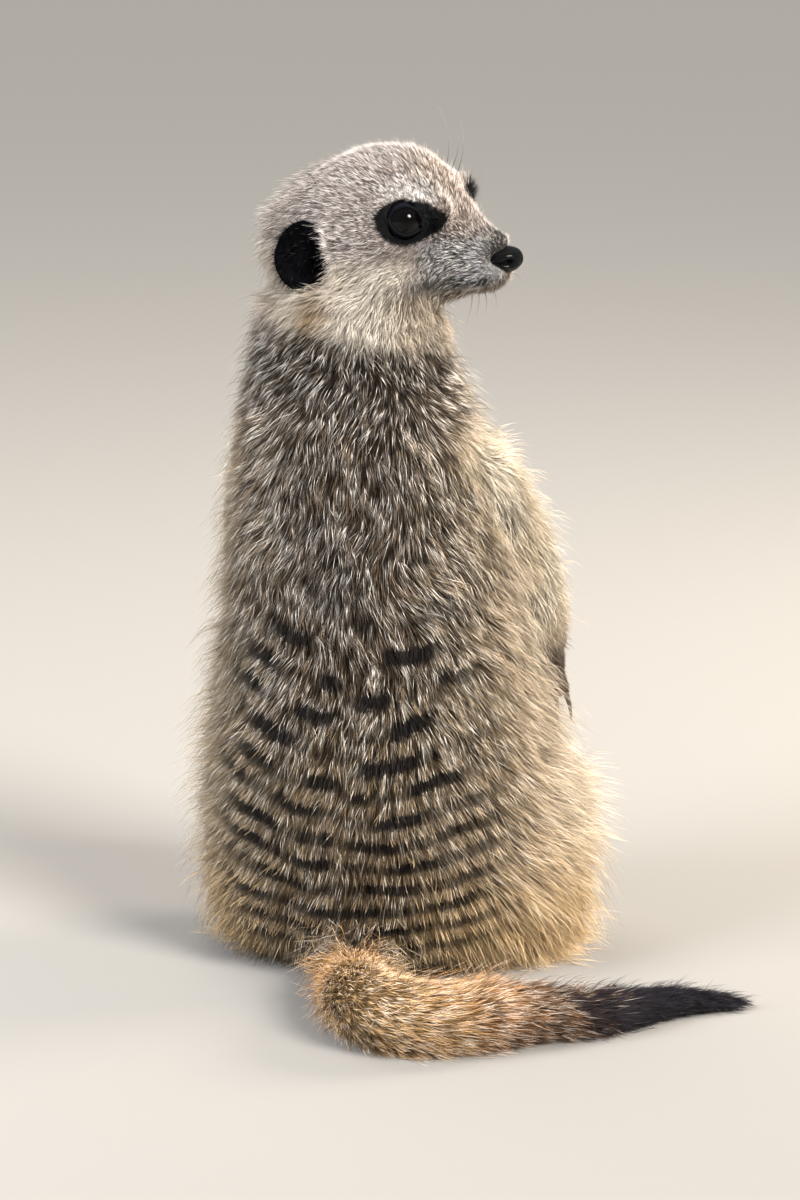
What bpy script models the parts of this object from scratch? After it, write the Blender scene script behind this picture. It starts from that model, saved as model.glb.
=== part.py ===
"""A meerkat that sits upright on its haunches with its head turned to its right.

The solids give the outline of the whole animal with its coat on, at life size. The trunk faces -Y, the head
looks along -X, and +Z is up. The origin is under the middle of the seat, on the floor. The flesh is made
whole, as rows of overlapping beads that a voxel remesh joins, and is then parted into named solids by thin
cuts. Eyes, nose, ears and claws are solids of their own.
"""

import math

import bmesh
import bpy
from mathutils import Matrix, Vector

MM = 0.001
SEAM = 0.3 * MM  # gap between neighbouring solids
FLOOR_CUT = 0.0  # level of every flat that the animal rests on
BODY_VOXEL = 1.25 * MM
SMOOTHING_STEPS = 7
BODY_TRIANGLES = 3600
BEAD_STEP = 2.5 * MM  # distance between neighbouring beads of a row
REACH = 400 * MM  # half size of a cutter before its planes trim it
SHARP_ANGLE = math.radians(40)

SIDES = {"left": 1, "right": -1}  # the animal's left is +X

# The middle line of the trunk and neck, from the seat up: height, sideways and backward place of the
# middle, half width and half depth. All sizes below are in millimetres.
TRUNK = (
    (9, 1.5, 9, 49, 39),
    (18, 1.5, 9, 54.5, 44),
    (30, 1.5, 7.5, 57, 47),
    (45, 2.5, 5.5, 57.5, 48.5),
    (60, 3.5, 3.5, 56, 49),
    (75, 4.5, 2.5, 53, 47.5),
    (90, 6, 2.5, 50, 44.5),
    (105, 6.5, 3.5, 47.5, 41.5),
    (120, 7.5, 5, 45, 39),
    (135, 8.5, 6.5, 42.5, 37),
    (148, 9.5, 8, 40, 35),
    (160, 10.5, 9, 37.5, 33),
    (172, 11.5, 9.5, 34.5, 31),
    (184, 12.5, 9, 31, 29.5),
    (196, 12.5, 8, 28, 27),
)
TRUNK_BEAD_HEIGHT = 13

# Limbs, for the left side: place and radius at each joint and swelling.
THIGH = (
    ((28, 14, 30), 29),
    ((33, -6, 36), 24.5),
    ((35.5, -24.5, 41), 17.3),
)
SHANK = (
    ((36, -26, 39), 16),
    ((42, -11, 22), 14),
    ((42, 4, 11), 11),
)
HIND_FOOT = (
    ((42, 4, 8), 10),
    ((40, -17, 7), 8.6),
    ((37.5, -38, 6.2), 8),
    ((36.8, -46, 5.2), 6.6),
)
# Arms are given from the middle of the chest, which leans to the animal's left with height.
LEAN = 0.055
UPPER_ARM = (
    ((29.3, 1, 142), 16.5),
    ((36, -8, 124), 15.5),
    ((39.8, -16, 106), 13),
)
FOREARM = (
    ((39.8, -16, 106), 12.5),
    ((39.1, -31, 94.5), 9.5),
    ((36.4, -43.5, 84.5), 7),
)
PALM = (
    ((36.4, -43.5, 84.5), 6.8),
    ((35.5, -49, 78.5), 6.4),
)

# The tail's middle line from inside the rump to the tip. It lies on the floor and bends round to the right.
TAIL = (
    ((0.3, 37.9, 14), 10.5),
    ((-7.7, 65.8, 9.2), 9.5),
    ((-14.8, 87.7, 10), 10.7),
    ((-24.2, 103.6, 10.7), 11.4),
    ((-36.2, 111.3, 10.7), 11.5),
    ((-47.2, 108.7, 10.4), 11.2),
    ((-56.8, 101.4, 9.9), 10.6),
    ((-70.3, 87.6, 8.1), 8.7),
    ((-85, 77.5, 6.6), 7.1),
    ((-101.3, 52.3, 4.4), 4.7),
    ((-116.5, 41.5, 2.5), 2.6),
)

# The head has its own axes: forward to the nose, the animal's left, and up, from the middle of the skull.
HEAD_MIDDLE = Vector((1.5, 6, 215.5))
HEAD_ROLL = math.radians(7)  # the right cheek hangs lower
HEAD_ROW = (  # forward place, height of the middle, half length, half width, half height
    (-27, -2, 12, 16, 16.5),
    (-20, 0, 12, 21.5, 20.8),
    (-10, 2, 12, 24.5, 25),
    (0, 3.5, 11, 24, 26),
    (8, 4.5, 10, 20.5, 24),
    (15, 3.5, 9, 16.5, 20),
    (20.5, 0.5, 8, 13, 15.5),
    (26, -2.6, 7, 10.2, 11.4),
    (31, -3.7, 6, 8.4, 9.4),
    (35.2, -4.7, 5, 6.6, 7),
)
BROW = ((16.5, 12.3, 12.3), (8, 6.5, 6.5))  # place and half sizes of the swelling over an eye
CHEEK = ((2, 12.5, -10), (15, 12, 13))
RUFF = ((-11, 11, -15), (14, 12, 13))
WHISKER_PAD = ((29.5, 5.2, -7.8), (7.5, 5.2, 4.8))
CHIN = ((27, 0, -12), (8.5, 6.2, 3.8))
THROAT = ((17.5, 0, -12), (9.5, 8.5, 6))

EYE_MIDDLE = (9.9, 14.8, 10.2)
EYE_RADIUS = 5.9
NOSE_MIDDLE = (37.6, 0, -4)
NOSE_HALF_SIZES = (4.3, 5, 4)
EAR_MIDDLE = (-17.6, 22.8, -0.6)
EAR_HALF_SIZES = (8.4, 3, 10.4)
EAR_TURN = math.radians(22)  # the rear rim stands off the head
EAR_TILT = math.radians(14)  # the ear's foot lies further forward than its top

# The cuts that part the body: a point on each plane, and the way out of the part that it bounds. Parts are
# taken off in this order, and a limb's cuts are given for the left side, with the lean that applies to it.
HEAD_CUT = ((12, 6, 193), (0.2, 0, -1))
NECK_CUT = ((10, 8, 166), (0, 0.1, -1))
BEYOND_RUMP = ((-8, 62, 0), (0.25, -1, 0))
TAIL_CUTS = (("tail_tip", 8), ("tail_outer", 6), ("tail_middle", 2))  # joints of the tail
TAIL_ROOT_CUT = ((-2, 55, 24), (0, -0.9, 0.44))
ELBOW_CUT = ((41, -24, 99), (0.1, 0.8, 0.6))
WRIST_CUT = ((37, -45, 82), (0, 0.55, 0.83))
BELLY_CUT = ((33.5, -34, 90), (-0.8, 0.6, 0))
LIMB_CUTS = {
    "hind_foot": (
        0,
        (
            ((24, 0, 0), (-1, 0, 0)),
            ((43, 6, 17), (0, 0.35, 1)),
            ((43, -24, 15), (0, 0.9, 0.2)),
        ),
    ),
    "forepaw": (LEAN, (WRIST_CUT, BELLY_CUT, ((36, -49, 60), (0, 0.73, -0.68)))),
    "forearm": (LEAN, (ELBOW_CUT, BELLY_CUT, ((37, -21, 84), (0, 0.65, -0.76)))),
    "upper_arm": (
        LEAN,
        (
            ((37.5, 0, 130), (-1, 0, -0.17)),
            ((40, -10, 94), (0, 0.6, -0.8)),
            ((30, 15, 146), (0, 0.91, -0.41)),
        ),
    ),
    "thigh": (0, (((37, 0, 36), (-1, 0, 0.32)), ((30, 38, 30), (-0.5, 1, 0)), ((30, 0, 84), (0, 0, 1)))),
}

TOE_SPREAD = 4.3  # distance between neighbouring toes
FINGER_SPREAD = 3.6
CLAW_RINGS = 4
CLAW_SIDES = 6
HIND_CLAW = (7, 1.15)  # length and base radius
FORE_CLAW = (11.5, 1.2)
CLAW_CURL = math.radians(38)  # how far a claw bends along its length
CLAW_ROOT = 1.6  # how deep a claw starts inside its digit
CLAW_TAPER = 0.8  # share of its thickness that a claw has lost at its last ring
CLAW_WIDTH = 0.8  # a claw's width as a share of its height
HIND_CLAW_RAISE = 0.5  # the hind claws leave their toes this far above the middle


def vector(place):
    """A place in millimetres as a vector in metres."""
    return Vector(place) * MM


def placed(place, side, lean=0):
    """A place on the left (side 1) or the right (side -1) of a middle line that leans to the left."""
    return Vector((place[2] * lean + place[0] * side, place[1], place[2]))


def head_matrix():
    """From the head's own axes to the world: forward is -X, the head's left is -Y."""
    turn = Matrix(((-1, 0, 0), (0, -1, 0), (0, 0, 1))).to_4x4()
    roll = Matrix.Rotation(HEAD_ROLL, 4, "X")
    return Matrix.Translation(HEAD_MIDDLE * MM) @ turn @ roll


def curve_through(stations, share):
    """The Catmull-Rom curve through rows of numbers, at a share from 0 to 1 of their count."""
    last = len(stations) - 1
    at = min(share * last, last - 1e-9)
    first = int(at)
    t = at - first
    rows = [stations[max(0, min(last, first + k))] for k in (-1, 0, 1, 2)]
    weights = (
        -0.5 * t**3 + t**2 - 0.5 * t,
        1.5 * t**3 - 2.5 * t**2 + 1,
        -1.5 * t**3 + 2 * t**2 + 0.5 * t,
        0.5 * t**3 - 0.5 * t**2,
    )
    return [sum(w * row[i] for w, row in zip(weights, rows)) for i in range(len(rows[0]))]


def bead(mesh, middle, half_sizes, frame=None, roundness=3):
    """Adds an ellipsoid to the mesh. Middle and half sizes are in millimetres in the given frame."""
    place = Matrix.Translation(vector(middle)) @ Matrix.Diagonal([*vector(half_sizes), 1])
    if frame is not None:
        place = frame @ place
    bmesh.ops.create_icosphere(mesh, subdivisions=roundness, radius=1, matrix=place)


def row_of_beads(mesh, stations, length, frame=None):
    """Beads along the curve through the stations, each a middle and three half sizes."""
    count = max(2, round(length * MM / BEAD_STEP))
    for i in range(count + 1):
        numbers = curve_through(stations, i / count)
        bead(mesh, numbers[:3], numbers[3:6], frame)


def limb(mesh, joints, side=1, lean=0):
    """A tapering limb of round beads through its joints."""
    stations = [[*placed(place, side, lean), radius, radius, radius] for place, radius in joints]
    length = sum((Vector(a[:3]) - Vector(b[:3])).length for a, b in zip(stations, stations[1:]))
    row_of_beads(mesh, stations, length)


def digits(base, tip, spread, radius, side, lean, count=4):
    """Middle lines of a foot's digits, fanned out a little: (start, end, radius) of each."""
    found = []
    for i in range(count):
        across = (i - (count - 1) / 2) * spread
        start = placed((base[0] + 0.6 * across, base[1], base[2]), side, lean)
        end = placed((tip[0] + across, tip[1], tip[2]), side, lean)
        is_outer = abs(across) > spread
        found.append((start, end.lerp(start, 0.16 if is_outer else 0), radius))
    return found


def toes(side):
    return digits((36.8, -45, 5), (36, -57, 2.9), TOE_SPREAD, 3.1, side, 0)


def fingers(side):
    return digits((35.3, -50, 76.5), (34.3, -55, 67.5), FINGER_SPREAD, 2.7, side, LEAN)


def head_beads(mesh):
    frame = head_matrix()
    row = [[u, 0, v, half_u, half_w, half_v] for u, v, half_u, half_w, half_v in HEAD_ROW]
    row_of_beads(mesh, row, row[-1][0] - row[0][0], frame)
    for side in SIDES.values():
        for (u, w, v), half_sizes in (BROW, CHEEK, RUFF, WHISKER_PAD):
            bead(mesh, (u, w * side, v), half_sizes, frame)
    bead(mesh, *CHIN, frame)
    bead(mesh, *THROAT, frame)


def body_beads(mesh):
    """All the flesh of the animal as overlapping beads."""
    stations = [[x, y, z, half_x, half_y, TRUNK_BEAD_HEIGHT] for z, x, y, half_x, half_y in TRUNK]
    row_of_beads(mesh, stations, TRUNK[-1][0])
    head_beads(mesh)
    limb(mesh, TAIL)
    for side in SIDES.values():
        for joints in (THIGH, SHANK, HIND_FOOT):
            limb(mesh, joints, side)
        for joints in (UPPER_ARM, FOREARM, PALM):
            limb(mesh, joints, side, LEAN)
        for start, end, radius in toes(side) + fingers(side):
            limb(mesh, ((start, radius), (end, radius)))


def add_object(name, mesh):
    """A scene object that holds a finished bmesh."""
    data = bpy.data.meshes.new(name)
    mesh.to_mesh(data)
    mesh.free()
    made = bpy.data.objects.new(name, data)
    bpy.context.scene.collection.objects.link(made)
    return made


def bake_modifiers(made):
    """Replaces an object's mesh by what its modifiers make of it."""
    graph = bpy.context.evaluated_depsgraph_get()
    data = bpy.data.meshes.new_from_object(made.evaluated_get(graph))
    old = made.data
    made.modifiers.clear()
    made.data = data
    bpy.data.meshes.remove(old)


def joined_flesh(name, beads, voxel, steps, triangles):
    """One smooth closed mesh around all the beads."""
    mesh = bmesh.new()
    beads(mesh)
    made = add_object(name, mesh)
    remesh = made.modifiers.new("join", "REMESH")
    remesh.mode = "VOXEL"
    remesh.voxel_size = voxel
    smooth = made.modifiers.new("smooth", "SMOOTH")
    smooth.factor = 0.5
    smooth.iterations = steps
    bake_modifiers(made)
    made.data.calc_loop_triangles()
    thin = made.modifiers.new("thin", "DECIMATE")
    thin.ratio = triangles / len(made.data.loop_triangles)
    bake_modifiers(made)
    return made


def cell(planes, grow):
    """A large cube trimmed by planes, each a point and an outward normal. Grow moves the planes out."""
    mesh = bmesh.new()
    bmesh.ops.create_cube(mesh, size=2 * REACH)
    for point, normal in planes:
        outward = Vector(normal).normalized()
        everything = mesh.verts[:] + mesh.edges[:] + mesh.faces[:]
        bmesh.ops.bisect_plane(
            mesh,
            geom=everything,
            plane_co=vector(point) + outward * grow,
            plane_no=outward,
            clear_outer=True,
        )
        bmesh.ops.holes_fill(mesh, edges=[e for e in mesh.edges if e.is_boundary])
    bmesh.ops.recalc_face_normals(mesh, faces=mesh.faces)
    return add_object("cutter", mesh)


def combine(made, other, operation):
    """Applies one Boolean to an object, and removes the other."""
    boolean = made.modifiers.new("cut", "BOOLEAN")
    boolean.operation = operation
    boolean.object = other
    bpy.context.view_layer.update()
    bake_modifiers(made)
    bpy.data.objects.remove(other)


def copy_of(made, name):
    twin = made.copy()
    twin.data = made.data.copy()
    twin.name = name
    bpy.context.scene.collection.objects.link(twin)
    return twin


def keep_largest(made):
    """Removes loose crumbs that a cut left beside the main body."""
    mesh = bmesh.new()
    mesh.from_mesh(made.data)
    islands, left = [], set(mesh.verts)
    while left:
        island, edge = set(), [left.pop()]
        while edge:
            vertex = edge.pop()
            island.add(vertex)
            near = [e.other_vert(vertex) for e in vertex.link_edges]
            edge += [v for v in near if v in left]
            left -= set(near)
        islands.append(island)
    largest = max(islands, key=len)
    bmesh.ops.delete(mesh, geom=[v for v in mesh.verts if v not in largest], context="VERTS")
    mesh.to_mesh(made.data)
    mesh.free()


def part_off(whole, name, planes):
    """Cuts the cell between the planes out of the whole body, as a solid with a seam around it."""
    piece = copy_of(whole, name)
    combine(piece, cell(planes, -SEAM / 2), "INTERSECT")
    combine(whole, cell(planes, SEAM / 2), "DIFFERENCE")
    keep_largest(piece)
    return piece


def side_of(side, point, normal, lean=0):
    """A cutting plane given for the left side, on either side."""
    return (tuple(placed(point, side, lean)), tuple(placed(normal, side)))


def across_tail(joint):
    """The plane across the tail at one of its joints, facing back towards the rump."""
    before, after = Vector(TAIL[joint - 1][0]), Vector(TAIL[joint + 1][0])
    back = (before - after) * Vector((1, 1, 0))
    return (TAIL[joint][0], tuple(back))


def part_the_body(whole):
    """Cuts the body into its named solids. What is left of it at the end is the trunk."""
    pieces = {}
    cuts = [("head", [HEAD_CUT]), ("neck", [NECK_CUT])]
    cuts += [(name, [across_tail(joint), BEYOND_RUMP]) for name, joint in TAIL_CUTS]
    cuts.append(("tail_root", [TAIL_ROOT_CUT]))
    for word, side in SIDES.items():
        for name, (lean, planes) in LIMB_CUTS.items():
            cuts.append((f"{name}_{word}", [side_of(side, *plane, lean) for plane in planes]))
    for name, planes in cuts:
        pieces[name] = part_off(whole, name, planes)
    whole.name = "trunk"
    keep_largest(whole)
    pieces["trunk"] = whole
    return pieces


def claw(mesh, start, along, length, radius):
    """A claw that tapers and bends down from the end of its digit, as rings and a point."""
    forward = along.normalized()
    down = (Vector((0, 0, -1)) - forward * -forward.z).normalized()
    across = forward.cross(down)
    place = start.copy()
    rings = []
    for i in range(CLAW_RINGS):
        share = i / CLAW_RINGS
        bend = CLAW_CURL * share
        heading = forward * math.cos(bend) + down * math.sin(bend)
        lift = heading.cross(across)
        thick = radius * (1 - CLAW_TAPER * share)
        ring = []
        for k in range(CLAW_SIDES):
            angle = 2 * math.pi * k / CLAW_SIDES
            wide = CLAW_WIDTH * thick * math.cos(angle)
            off = across * wide + lift * (thick * math.sin(angle))
            ring.append(mesh.verts.new((place + off) * MM))
        rings.append(ring)
        place += heading * (length / CLAW_RINGS)
    point = mesh.verts.new(place * MM)
    for inner, outer in zip(rings, rings[1:]):
        for k in range(CLAW_SIDES):
            m = (k + 1) % CLAW_SIDES
            mesh.faces.new((inner[k], inner[m], outer[m], outer[k]))
    for k in range(CLAW_SIDES):
        mesh.faces.new((rings[-1][k], rings[-1][(k + 1) % CLAW_SIDES], point))
    mesh.faces.new(rings[0][::-1])
    bmesh.ops.recalc_face_normals(mesh, faces=mesh.faces)


def claw_plans():
    """Name, carrying solid and form of every claw."""
    plans = []
    for word, side in SIDES.items():
        for carrier, ends, (length, radius) in (
            (f"hind_foot_{word}", toes(side), HIND_CLAW),
            (f"forepaw_{word}", fingers(side), FORE_CLAW),
        ):
            for i, (start, end, digit_radius) in enumerate(ends):
                along = (end - start).normalized()
                root = end + along * (digit_radius - CLAW_ROOT)
                if "hind" in carrier:
                    root.z += HIND_CLAW_RAISE
                    along.z = 0
                name = carrier.replace("hind_foot", "hind_claw").replace("forepaw", "fore_claw")
                plans.append((f"{name}_{i + 1}", carrier, root, along, length, radius))
    return plans


def ear_frame(side):
    """An ear's own axes: its rear rim is turned away from the head, and its top leans back."""
    u, w, v = EAR_MIDDLE
    place = Matrix.Translation(vector((u, w * side, v)))
    turn = Matrix.Rotation(-EAR_TURN * side, 4, "Z")
    return head_matrix() @ place @ turn @ Matrix.Rotation(-EAR_TILT, 4, "Y")


def small_piece_plans():
    """Name, carrying solid, middle, half sizes and frame of the eyes, ears and nose."""
    ball = (EYE_RADIUS,) * 3
    plans = [("nose", "head", NOSE_MIDDLE, NOSE_HALF_SIZES, head_matrix())]
    for word, side in SIDES.items():
        u, w, v = EYE_MIDDLE
        plans.append((f"eye_{word}", "head", (u, w * side, v), ball, head_matrix()))
        plans.append((f"ear_{word}", "head", (0, 0, 0), EAR_HALF_SIZES, ear_frame(side)))
    return plans


def set_in_small_pieces(pieces):
    """Adds eyes, ears, nose and claws, each in a socket cut out of the solid that carries it."""
    gap = SEAM / MM
    for name, carrier, middle, half_sizes, frame in small_piece_plans():
        for grow in (gap, 0):
            mesh = bmesh.new()
            grown = [half + grow for half in half_sizes]
            bead(mesh, middle, grown, frame, roundness=3 if "eye" in name else 2)
            made = add_object(name, mesh)
            if grow:
                combine(pieces[carrier], made, "DIFFERENCE")
            else:
                pieces[name] = made
    for name, carrier, root, along, length, radius in claw_plans():
        for grow in (gap, 0):
            mesh = bmesh.new()
            claw(mesh, root - along * grow, along, length + 2 * grow, radius + 1.4 * grow)
            made = add_object(name, mesh)
            if grow:
                combine(pieces[carrier], made, "DIFFERENCE")
            else:
                pieces[name] = made


MATERIALS = {  # colour, roughness
    "coat_grizzled": ((0.30, 0.23, 0.16), 0.85),
    "coat_pale": ((0.56, 0.49, 0.40), 0.85),
    "coat_gold": ((0.42, 0.28, 0.13), 0.85),
    "coat_black": ((0.025, 0.022, 0.022), 0.8),
    "nose_leather": ((0.02, 0.018, 0.018), 0.35),
    "eye_dark": ((0.012, 0.01, 0.012), 0.05),
    "claw_horn": ((0.05, 0.04, 0.035), 0.4),
}
MATERIAL_OF = (  # the first word that a node's name holds decides
    ("claw", "claw_horn"),
    ("eye", "eye_dark"),
    ("nose", "nose_leather"),
    ("ear_", "coat_black"),
    ("tail_tip", "coat_black"),
    ("tail", "coat_gold"),
    ("head", "coat_pale"),
    ("arm", "coat_pale"),
    ("paw", "coat_pale"),
    ("foot", "coat_pale"),
    ("", "coat_grizzled"),
)


def finish_pieces(pieces):
    """Gives every solid its material and its smooth look."""
    made = {}
    for name, (colour, roughness) in MATERIALS.items():
        material = bpy.data.materials.new(name)
        material.use_nodes = True
        shader = material.node_tree.nodes["Principled BSDF"]
        shader.inputs["Base Color"].default_value = (*colour, 1)
        shader.inputs["Roughness"].default_value = roughness
        shader.inputs["Metallic"].default_value = 0
        made[name] = material
    for name, piece in pieces.items():
        slot = next(slot for word, slot in MATERIAL_OF if word in name.replace("forearm", "arm"))
        piece.name = name
        piece.data.name = name
        piece.data.materials.clear()
        piece.data.materials.append(made[slot])
        piece.data.shade_smooth()
        piece.data.set_sharp_from_angle(angle=SHARP_ANGLE)


def main():
    for old in list(bpy.data.objects):
        bpy.data.objects.remove(old)
    whole = joined_flesh("body", body_beads, BODY_VOXEL, SMOOTHING_STEPS, BODY_TRIANGLES)
    floor = cell([((0, 0, FLOOR_CUT), (0, 0, -1))], 0)
    combine(whole, floor, "INTERSECT")
    pieces = part_the_body(whole)
    set_in_small_pieces(pieces)
    finish_pieces(pieces)


main()
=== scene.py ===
# %% [markdown]
# # A meerkat that sits upright
# A museum animal is made in layers, and this lesson makes the same ones. A skin lies a few millimetres
# inside the outline of the solid model. Eyes, lids, nose, ears and claws are set into the skin. Then
# more than a hundred thousand fine hairs are planted on it. Each hair is a slim solid spike that leans with
# the lie of the coat, and its tip is drawn towards its neighbours', because real fur gathers into locks.
# Skin and hairs read the same colour zones and the same dark rows, so the markings run through both.

import math

import bmesh
import bpy
import numpy as np
from mathutils import Matrix, Vector
from mathutils.bvhtree import BVHTree
from mathutils.kdtree import KDTree


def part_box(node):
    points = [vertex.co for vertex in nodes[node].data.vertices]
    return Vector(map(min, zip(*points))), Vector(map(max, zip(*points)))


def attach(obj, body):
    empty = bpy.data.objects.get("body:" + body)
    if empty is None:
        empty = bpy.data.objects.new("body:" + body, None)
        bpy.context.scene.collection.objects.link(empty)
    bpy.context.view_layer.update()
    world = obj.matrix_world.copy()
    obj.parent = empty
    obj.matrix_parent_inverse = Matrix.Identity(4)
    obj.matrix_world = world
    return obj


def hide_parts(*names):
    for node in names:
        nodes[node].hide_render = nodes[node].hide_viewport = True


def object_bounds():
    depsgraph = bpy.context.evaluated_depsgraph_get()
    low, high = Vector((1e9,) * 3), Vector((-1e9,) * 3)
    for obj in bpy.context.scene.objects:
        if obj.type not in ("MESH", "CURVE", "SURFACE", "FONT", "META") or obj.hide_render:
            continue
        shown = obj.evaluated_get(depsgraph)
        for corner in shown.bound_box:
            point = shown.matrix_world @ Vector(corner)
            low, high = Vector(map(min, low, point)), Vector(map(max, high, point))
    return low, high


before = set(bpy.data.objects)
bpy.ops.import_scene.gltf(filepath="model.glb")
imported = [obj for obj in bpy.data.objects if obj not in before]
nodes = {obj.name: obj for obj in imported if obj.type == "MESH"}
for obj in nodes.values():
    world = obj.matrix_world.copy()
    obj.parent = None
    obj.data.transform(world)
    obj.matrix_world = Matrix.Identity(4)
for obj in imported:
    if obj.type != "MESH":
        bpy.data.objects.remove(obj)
solid_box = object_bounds()
MM = 0.001
print("solid pieces:", len(nodes))

# %% [markdown]
# ## Where things are
# The boxes of the solid eyes and nose say how the head is turned. From them comes a frame of the head's own:
# forward to the nose, out to its left, and up. Face details are then easy to place on both sides.

# %% The head's own axes
EYE_IN_HEAD = np.array([9.9, 14.8, 10.2])  # forward, left, up, in millimetres from the middle of the skull
NOSE_IN_HEAD = np.array([37.6, 0.0, -4.0])
BOTH_SIDES = {"left": 1, "right": -1}  # the animal's own left lies towards plus X


def middle_of(node):
    """The centre of a solid's box."""
    low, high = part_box(node)
    return np.array([(a + b) / 2 for a, b in zip(low, high)])


def unit(values):
    """Vectors scaled to length one."""
    values = np.asarray(values, dtype=float)
    return values / np.maximum(np.linalg.norm(values, axis=-1, keepdims=True), 1e-9)


eye_middles = {word: middle_of(f"eye_{word}") for word in BOTH_SIDES}
nose_middle = middle_of("nose")
between_eyes = (eye_middles["left"] + eye_middles["right"]) / 2
head_left = unit(eye_middles["left"] - eye_middles["right"])
to_nose = unit(nose_middle - between_eyes)
square_up = unit(np.cross(head_left, -to_nose))
drop = math.atan2(EYE_IN_HEAD[2] - NOSE_IN_HEAD[2], NOSE_IN_HEAD[0] - EYE_IN_HEAD[0])
head_up = unit(np.cross(to_nose, head_left))
head_forward = to_nose * math.cos(drop) + head_up * math.sin(drop)
head_up = unit(np.cross(head_forward, head_left))
HEAD_AXES = np.array([head_forward, head_left, head_up])
head_middle = between_eyes - (EYE_IN_HEAD * (1, 0, 1) * MM) @ HEAD_AXES
print("head looks along", np.round(head_forward, 2), "middle at", np.round(head_middle, 3))


def in_head(points):
    """Forward, left and up places in millimetres, in the head's own axes."""
    return (points - head_middle) @ HEAD_AXES.T / MM


def from_head(places):
    """World points from places in the head's own axes."""
    return head_middle + np.asarray(places, dtype=float) * MM @ HEAD_AXES


def face_places(points):
    """How far ahead, aside (the same left and right) and above each point is, in head millimetres."""
    place = in_head(points)
    return place[:, 0], np.abs(place[:, 1]), place[:, 2]


def smooth_step(values, start, end):
    """0 before start, 1 after end, and a soft change between them."""
    t = np.clip((np.asarray(values, dtype=float) - start) / (end - start), 0, 1)
    return t * t * (3 - 2 * t)


def hump(values, middle, width):
    """A bell curve of height one."""
    return np.exp(-(((values - middle) / width) ** 2))


# %% [markdown]
# ## Camera, light and floor
# The animal is seen from behind and to its right, from a little above, through a long lens. A wide soft sun
# rakes over the back from the animal's right, so every lock throws a small shadow. A warm panel on the far side
# of the right arm lights the tips of the coat along chest, arm and flank, a small one high in front draws the
# edge of the crown, and a cool panel behind the left side opens the shadows there.

# %% Camera
CAMERA_TURN = math.radians(198)
CAMERA_RISE = math.radians(12)
CAMERA_DISTANCE = 1.6
CAMERA_TARGET = Vector((0, 0, 0.1057))


def direction(turn, rise):
    """From the animal towards a viewer at this turn and rise."""
    return Vector((math.sin(turn) * math.cos(rise), -math.cos(turn) * math.cos(rise), math.sin(rise)))


camera = bpy.data.objects.new("camera", bpy.data.cameras.new("camera"))
bpy.context.scene.collection.objects.link(camera)
camera.data.lens = 160
camera.data.sensor_width = 36
camera.data.clip_start = 0.05
to_camera = direction(CAMERA_TURN, CAMERA_RISE)
camera.location = CAMERA_TARGET + to_camera * CAMERA_DISTANCE
camera.rotation_euler = (-to_camera).to_track_quat("-Z", "Y").to_euler()
bpy.context.scene.camera = camera
print("camera at", [round(v, 3) for v in camera.location])

# %% Lights
SUN_SIZE = math.radians(24)
SUN = (240, 38, 3.0, 8.2, (1.0, 0.95, 0.88))  # turn and rise in degrees, distance, power, colour
PANELS = (  # name, turn and rise in degrees, distance, size, power, colour
    ("warm_rim", 312, 24, 1.0, 0.5, 20, (1.0, 0.88, 0.74)),
    ("top_back", 40, 60, 1.1, 0.5, 9, (1.0, 0.95, 0.88)),
    ("cool_fill", 140, 30, 1.3, 0.8, 32, (0.95, 0.97, 1.0)),
)


def add_light(name, kind, turn, rise, distance, power, colour):
    """A lamp on a sphere round the animal, aimed at it."""
    lamp = bpy.data.objects.new(name, bpy.data.lights.new(name, kind))
    lamp.data.energy = power
    lamp.data.color = colour
    aim = direction(math.radians(turn), math.radians(rise))
    lamp.location = CAMERA_TARGET + aim * distance
    lamp.rotation_euler = aim.to_track_quat("Z", "Y").to_euler()
    lamp.visible_glossy = kind == "SUN"  # one clean highlight in each eye
    bpy.context.scene.collection.objects.link(lamp)
    return lamp.data


sun = add_light("soft_sun", "SUN", *SUN)
sun.angle = SUN_SIZE
for name, turn, rise, distance, size, power, colour in PANELS:
    panel = add_light(name, "AREA", turn, rise, distance, power, colour)
    panel.shape = "DISK"
    panel.size = size
print("lights:", len(PANELS) + 1)

# %% The room's own light
ROOM_TINT = (0.82, 0.87, 0.95, 1)
ROOM_STRENGTH = 0.42
world = bpy.data.worlds.new("studio")
bpy.context.scene.world = world
world.use_nodes = True
background = world.node_tree.nodes["Background"]
background.inputs["Color"].default_value = ROOM_TINT
background.inputs["Strength"].default_value = ROOM_STRENGTH
bpy.context.scene.view_settings.view_transform = "Standard"
print("room light:", ROOM_STRENGTH)

# %% Helpers for materials and objects
def plain_material(name, colour, roughness, specular=0.5):
    """A new Principled material with its shader, ready for nodes."""
    material = bpy.data.materials.new(name)
    material.use_nodes = True
    shader = material.node_tree.nodes["Principled BSDF"]
    shader.inputs["Base Color"].default_value = (*colour, 1)
    shader.inputs["Roughness"].default_value = roughness
    shader.inputs["Specular IOR Level"].default_value = specular
    return material, material.node_tree, shader


def add_noise(tree, scale, detail=2):
    """A Noise Texture node. Returns its output."""
    node = tree.nodes.new("ShaderNodeTexNoise")
    node.inputs["Scale"].default_value = scale
    node.inputs["Detail"].default_value = detail
    return node.outputs["Fac"]


def add_bump(tree, shader, height, strength, distance):
    """A Bump node that turns an output into small heights on the shader's surface."""
    node = tree.nodes.new("ShaderNodeBump")
    node.inputs["Strength"].default_value = strength
    node.inputs["Distance"].default_value = distance
    tree.links.new(height, node.inputs["Height"])
    tree.links.new(node.outputs["Normal"], shader.inputs["Normal"])


def link_new(name, mesh):
    """A scene object around a mesh."""
    made = bpy.data.objects.new(name, mesh)
    bpy.context.scene.collection.objects.link(made)
    return made


print("helpers ready")

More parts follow.
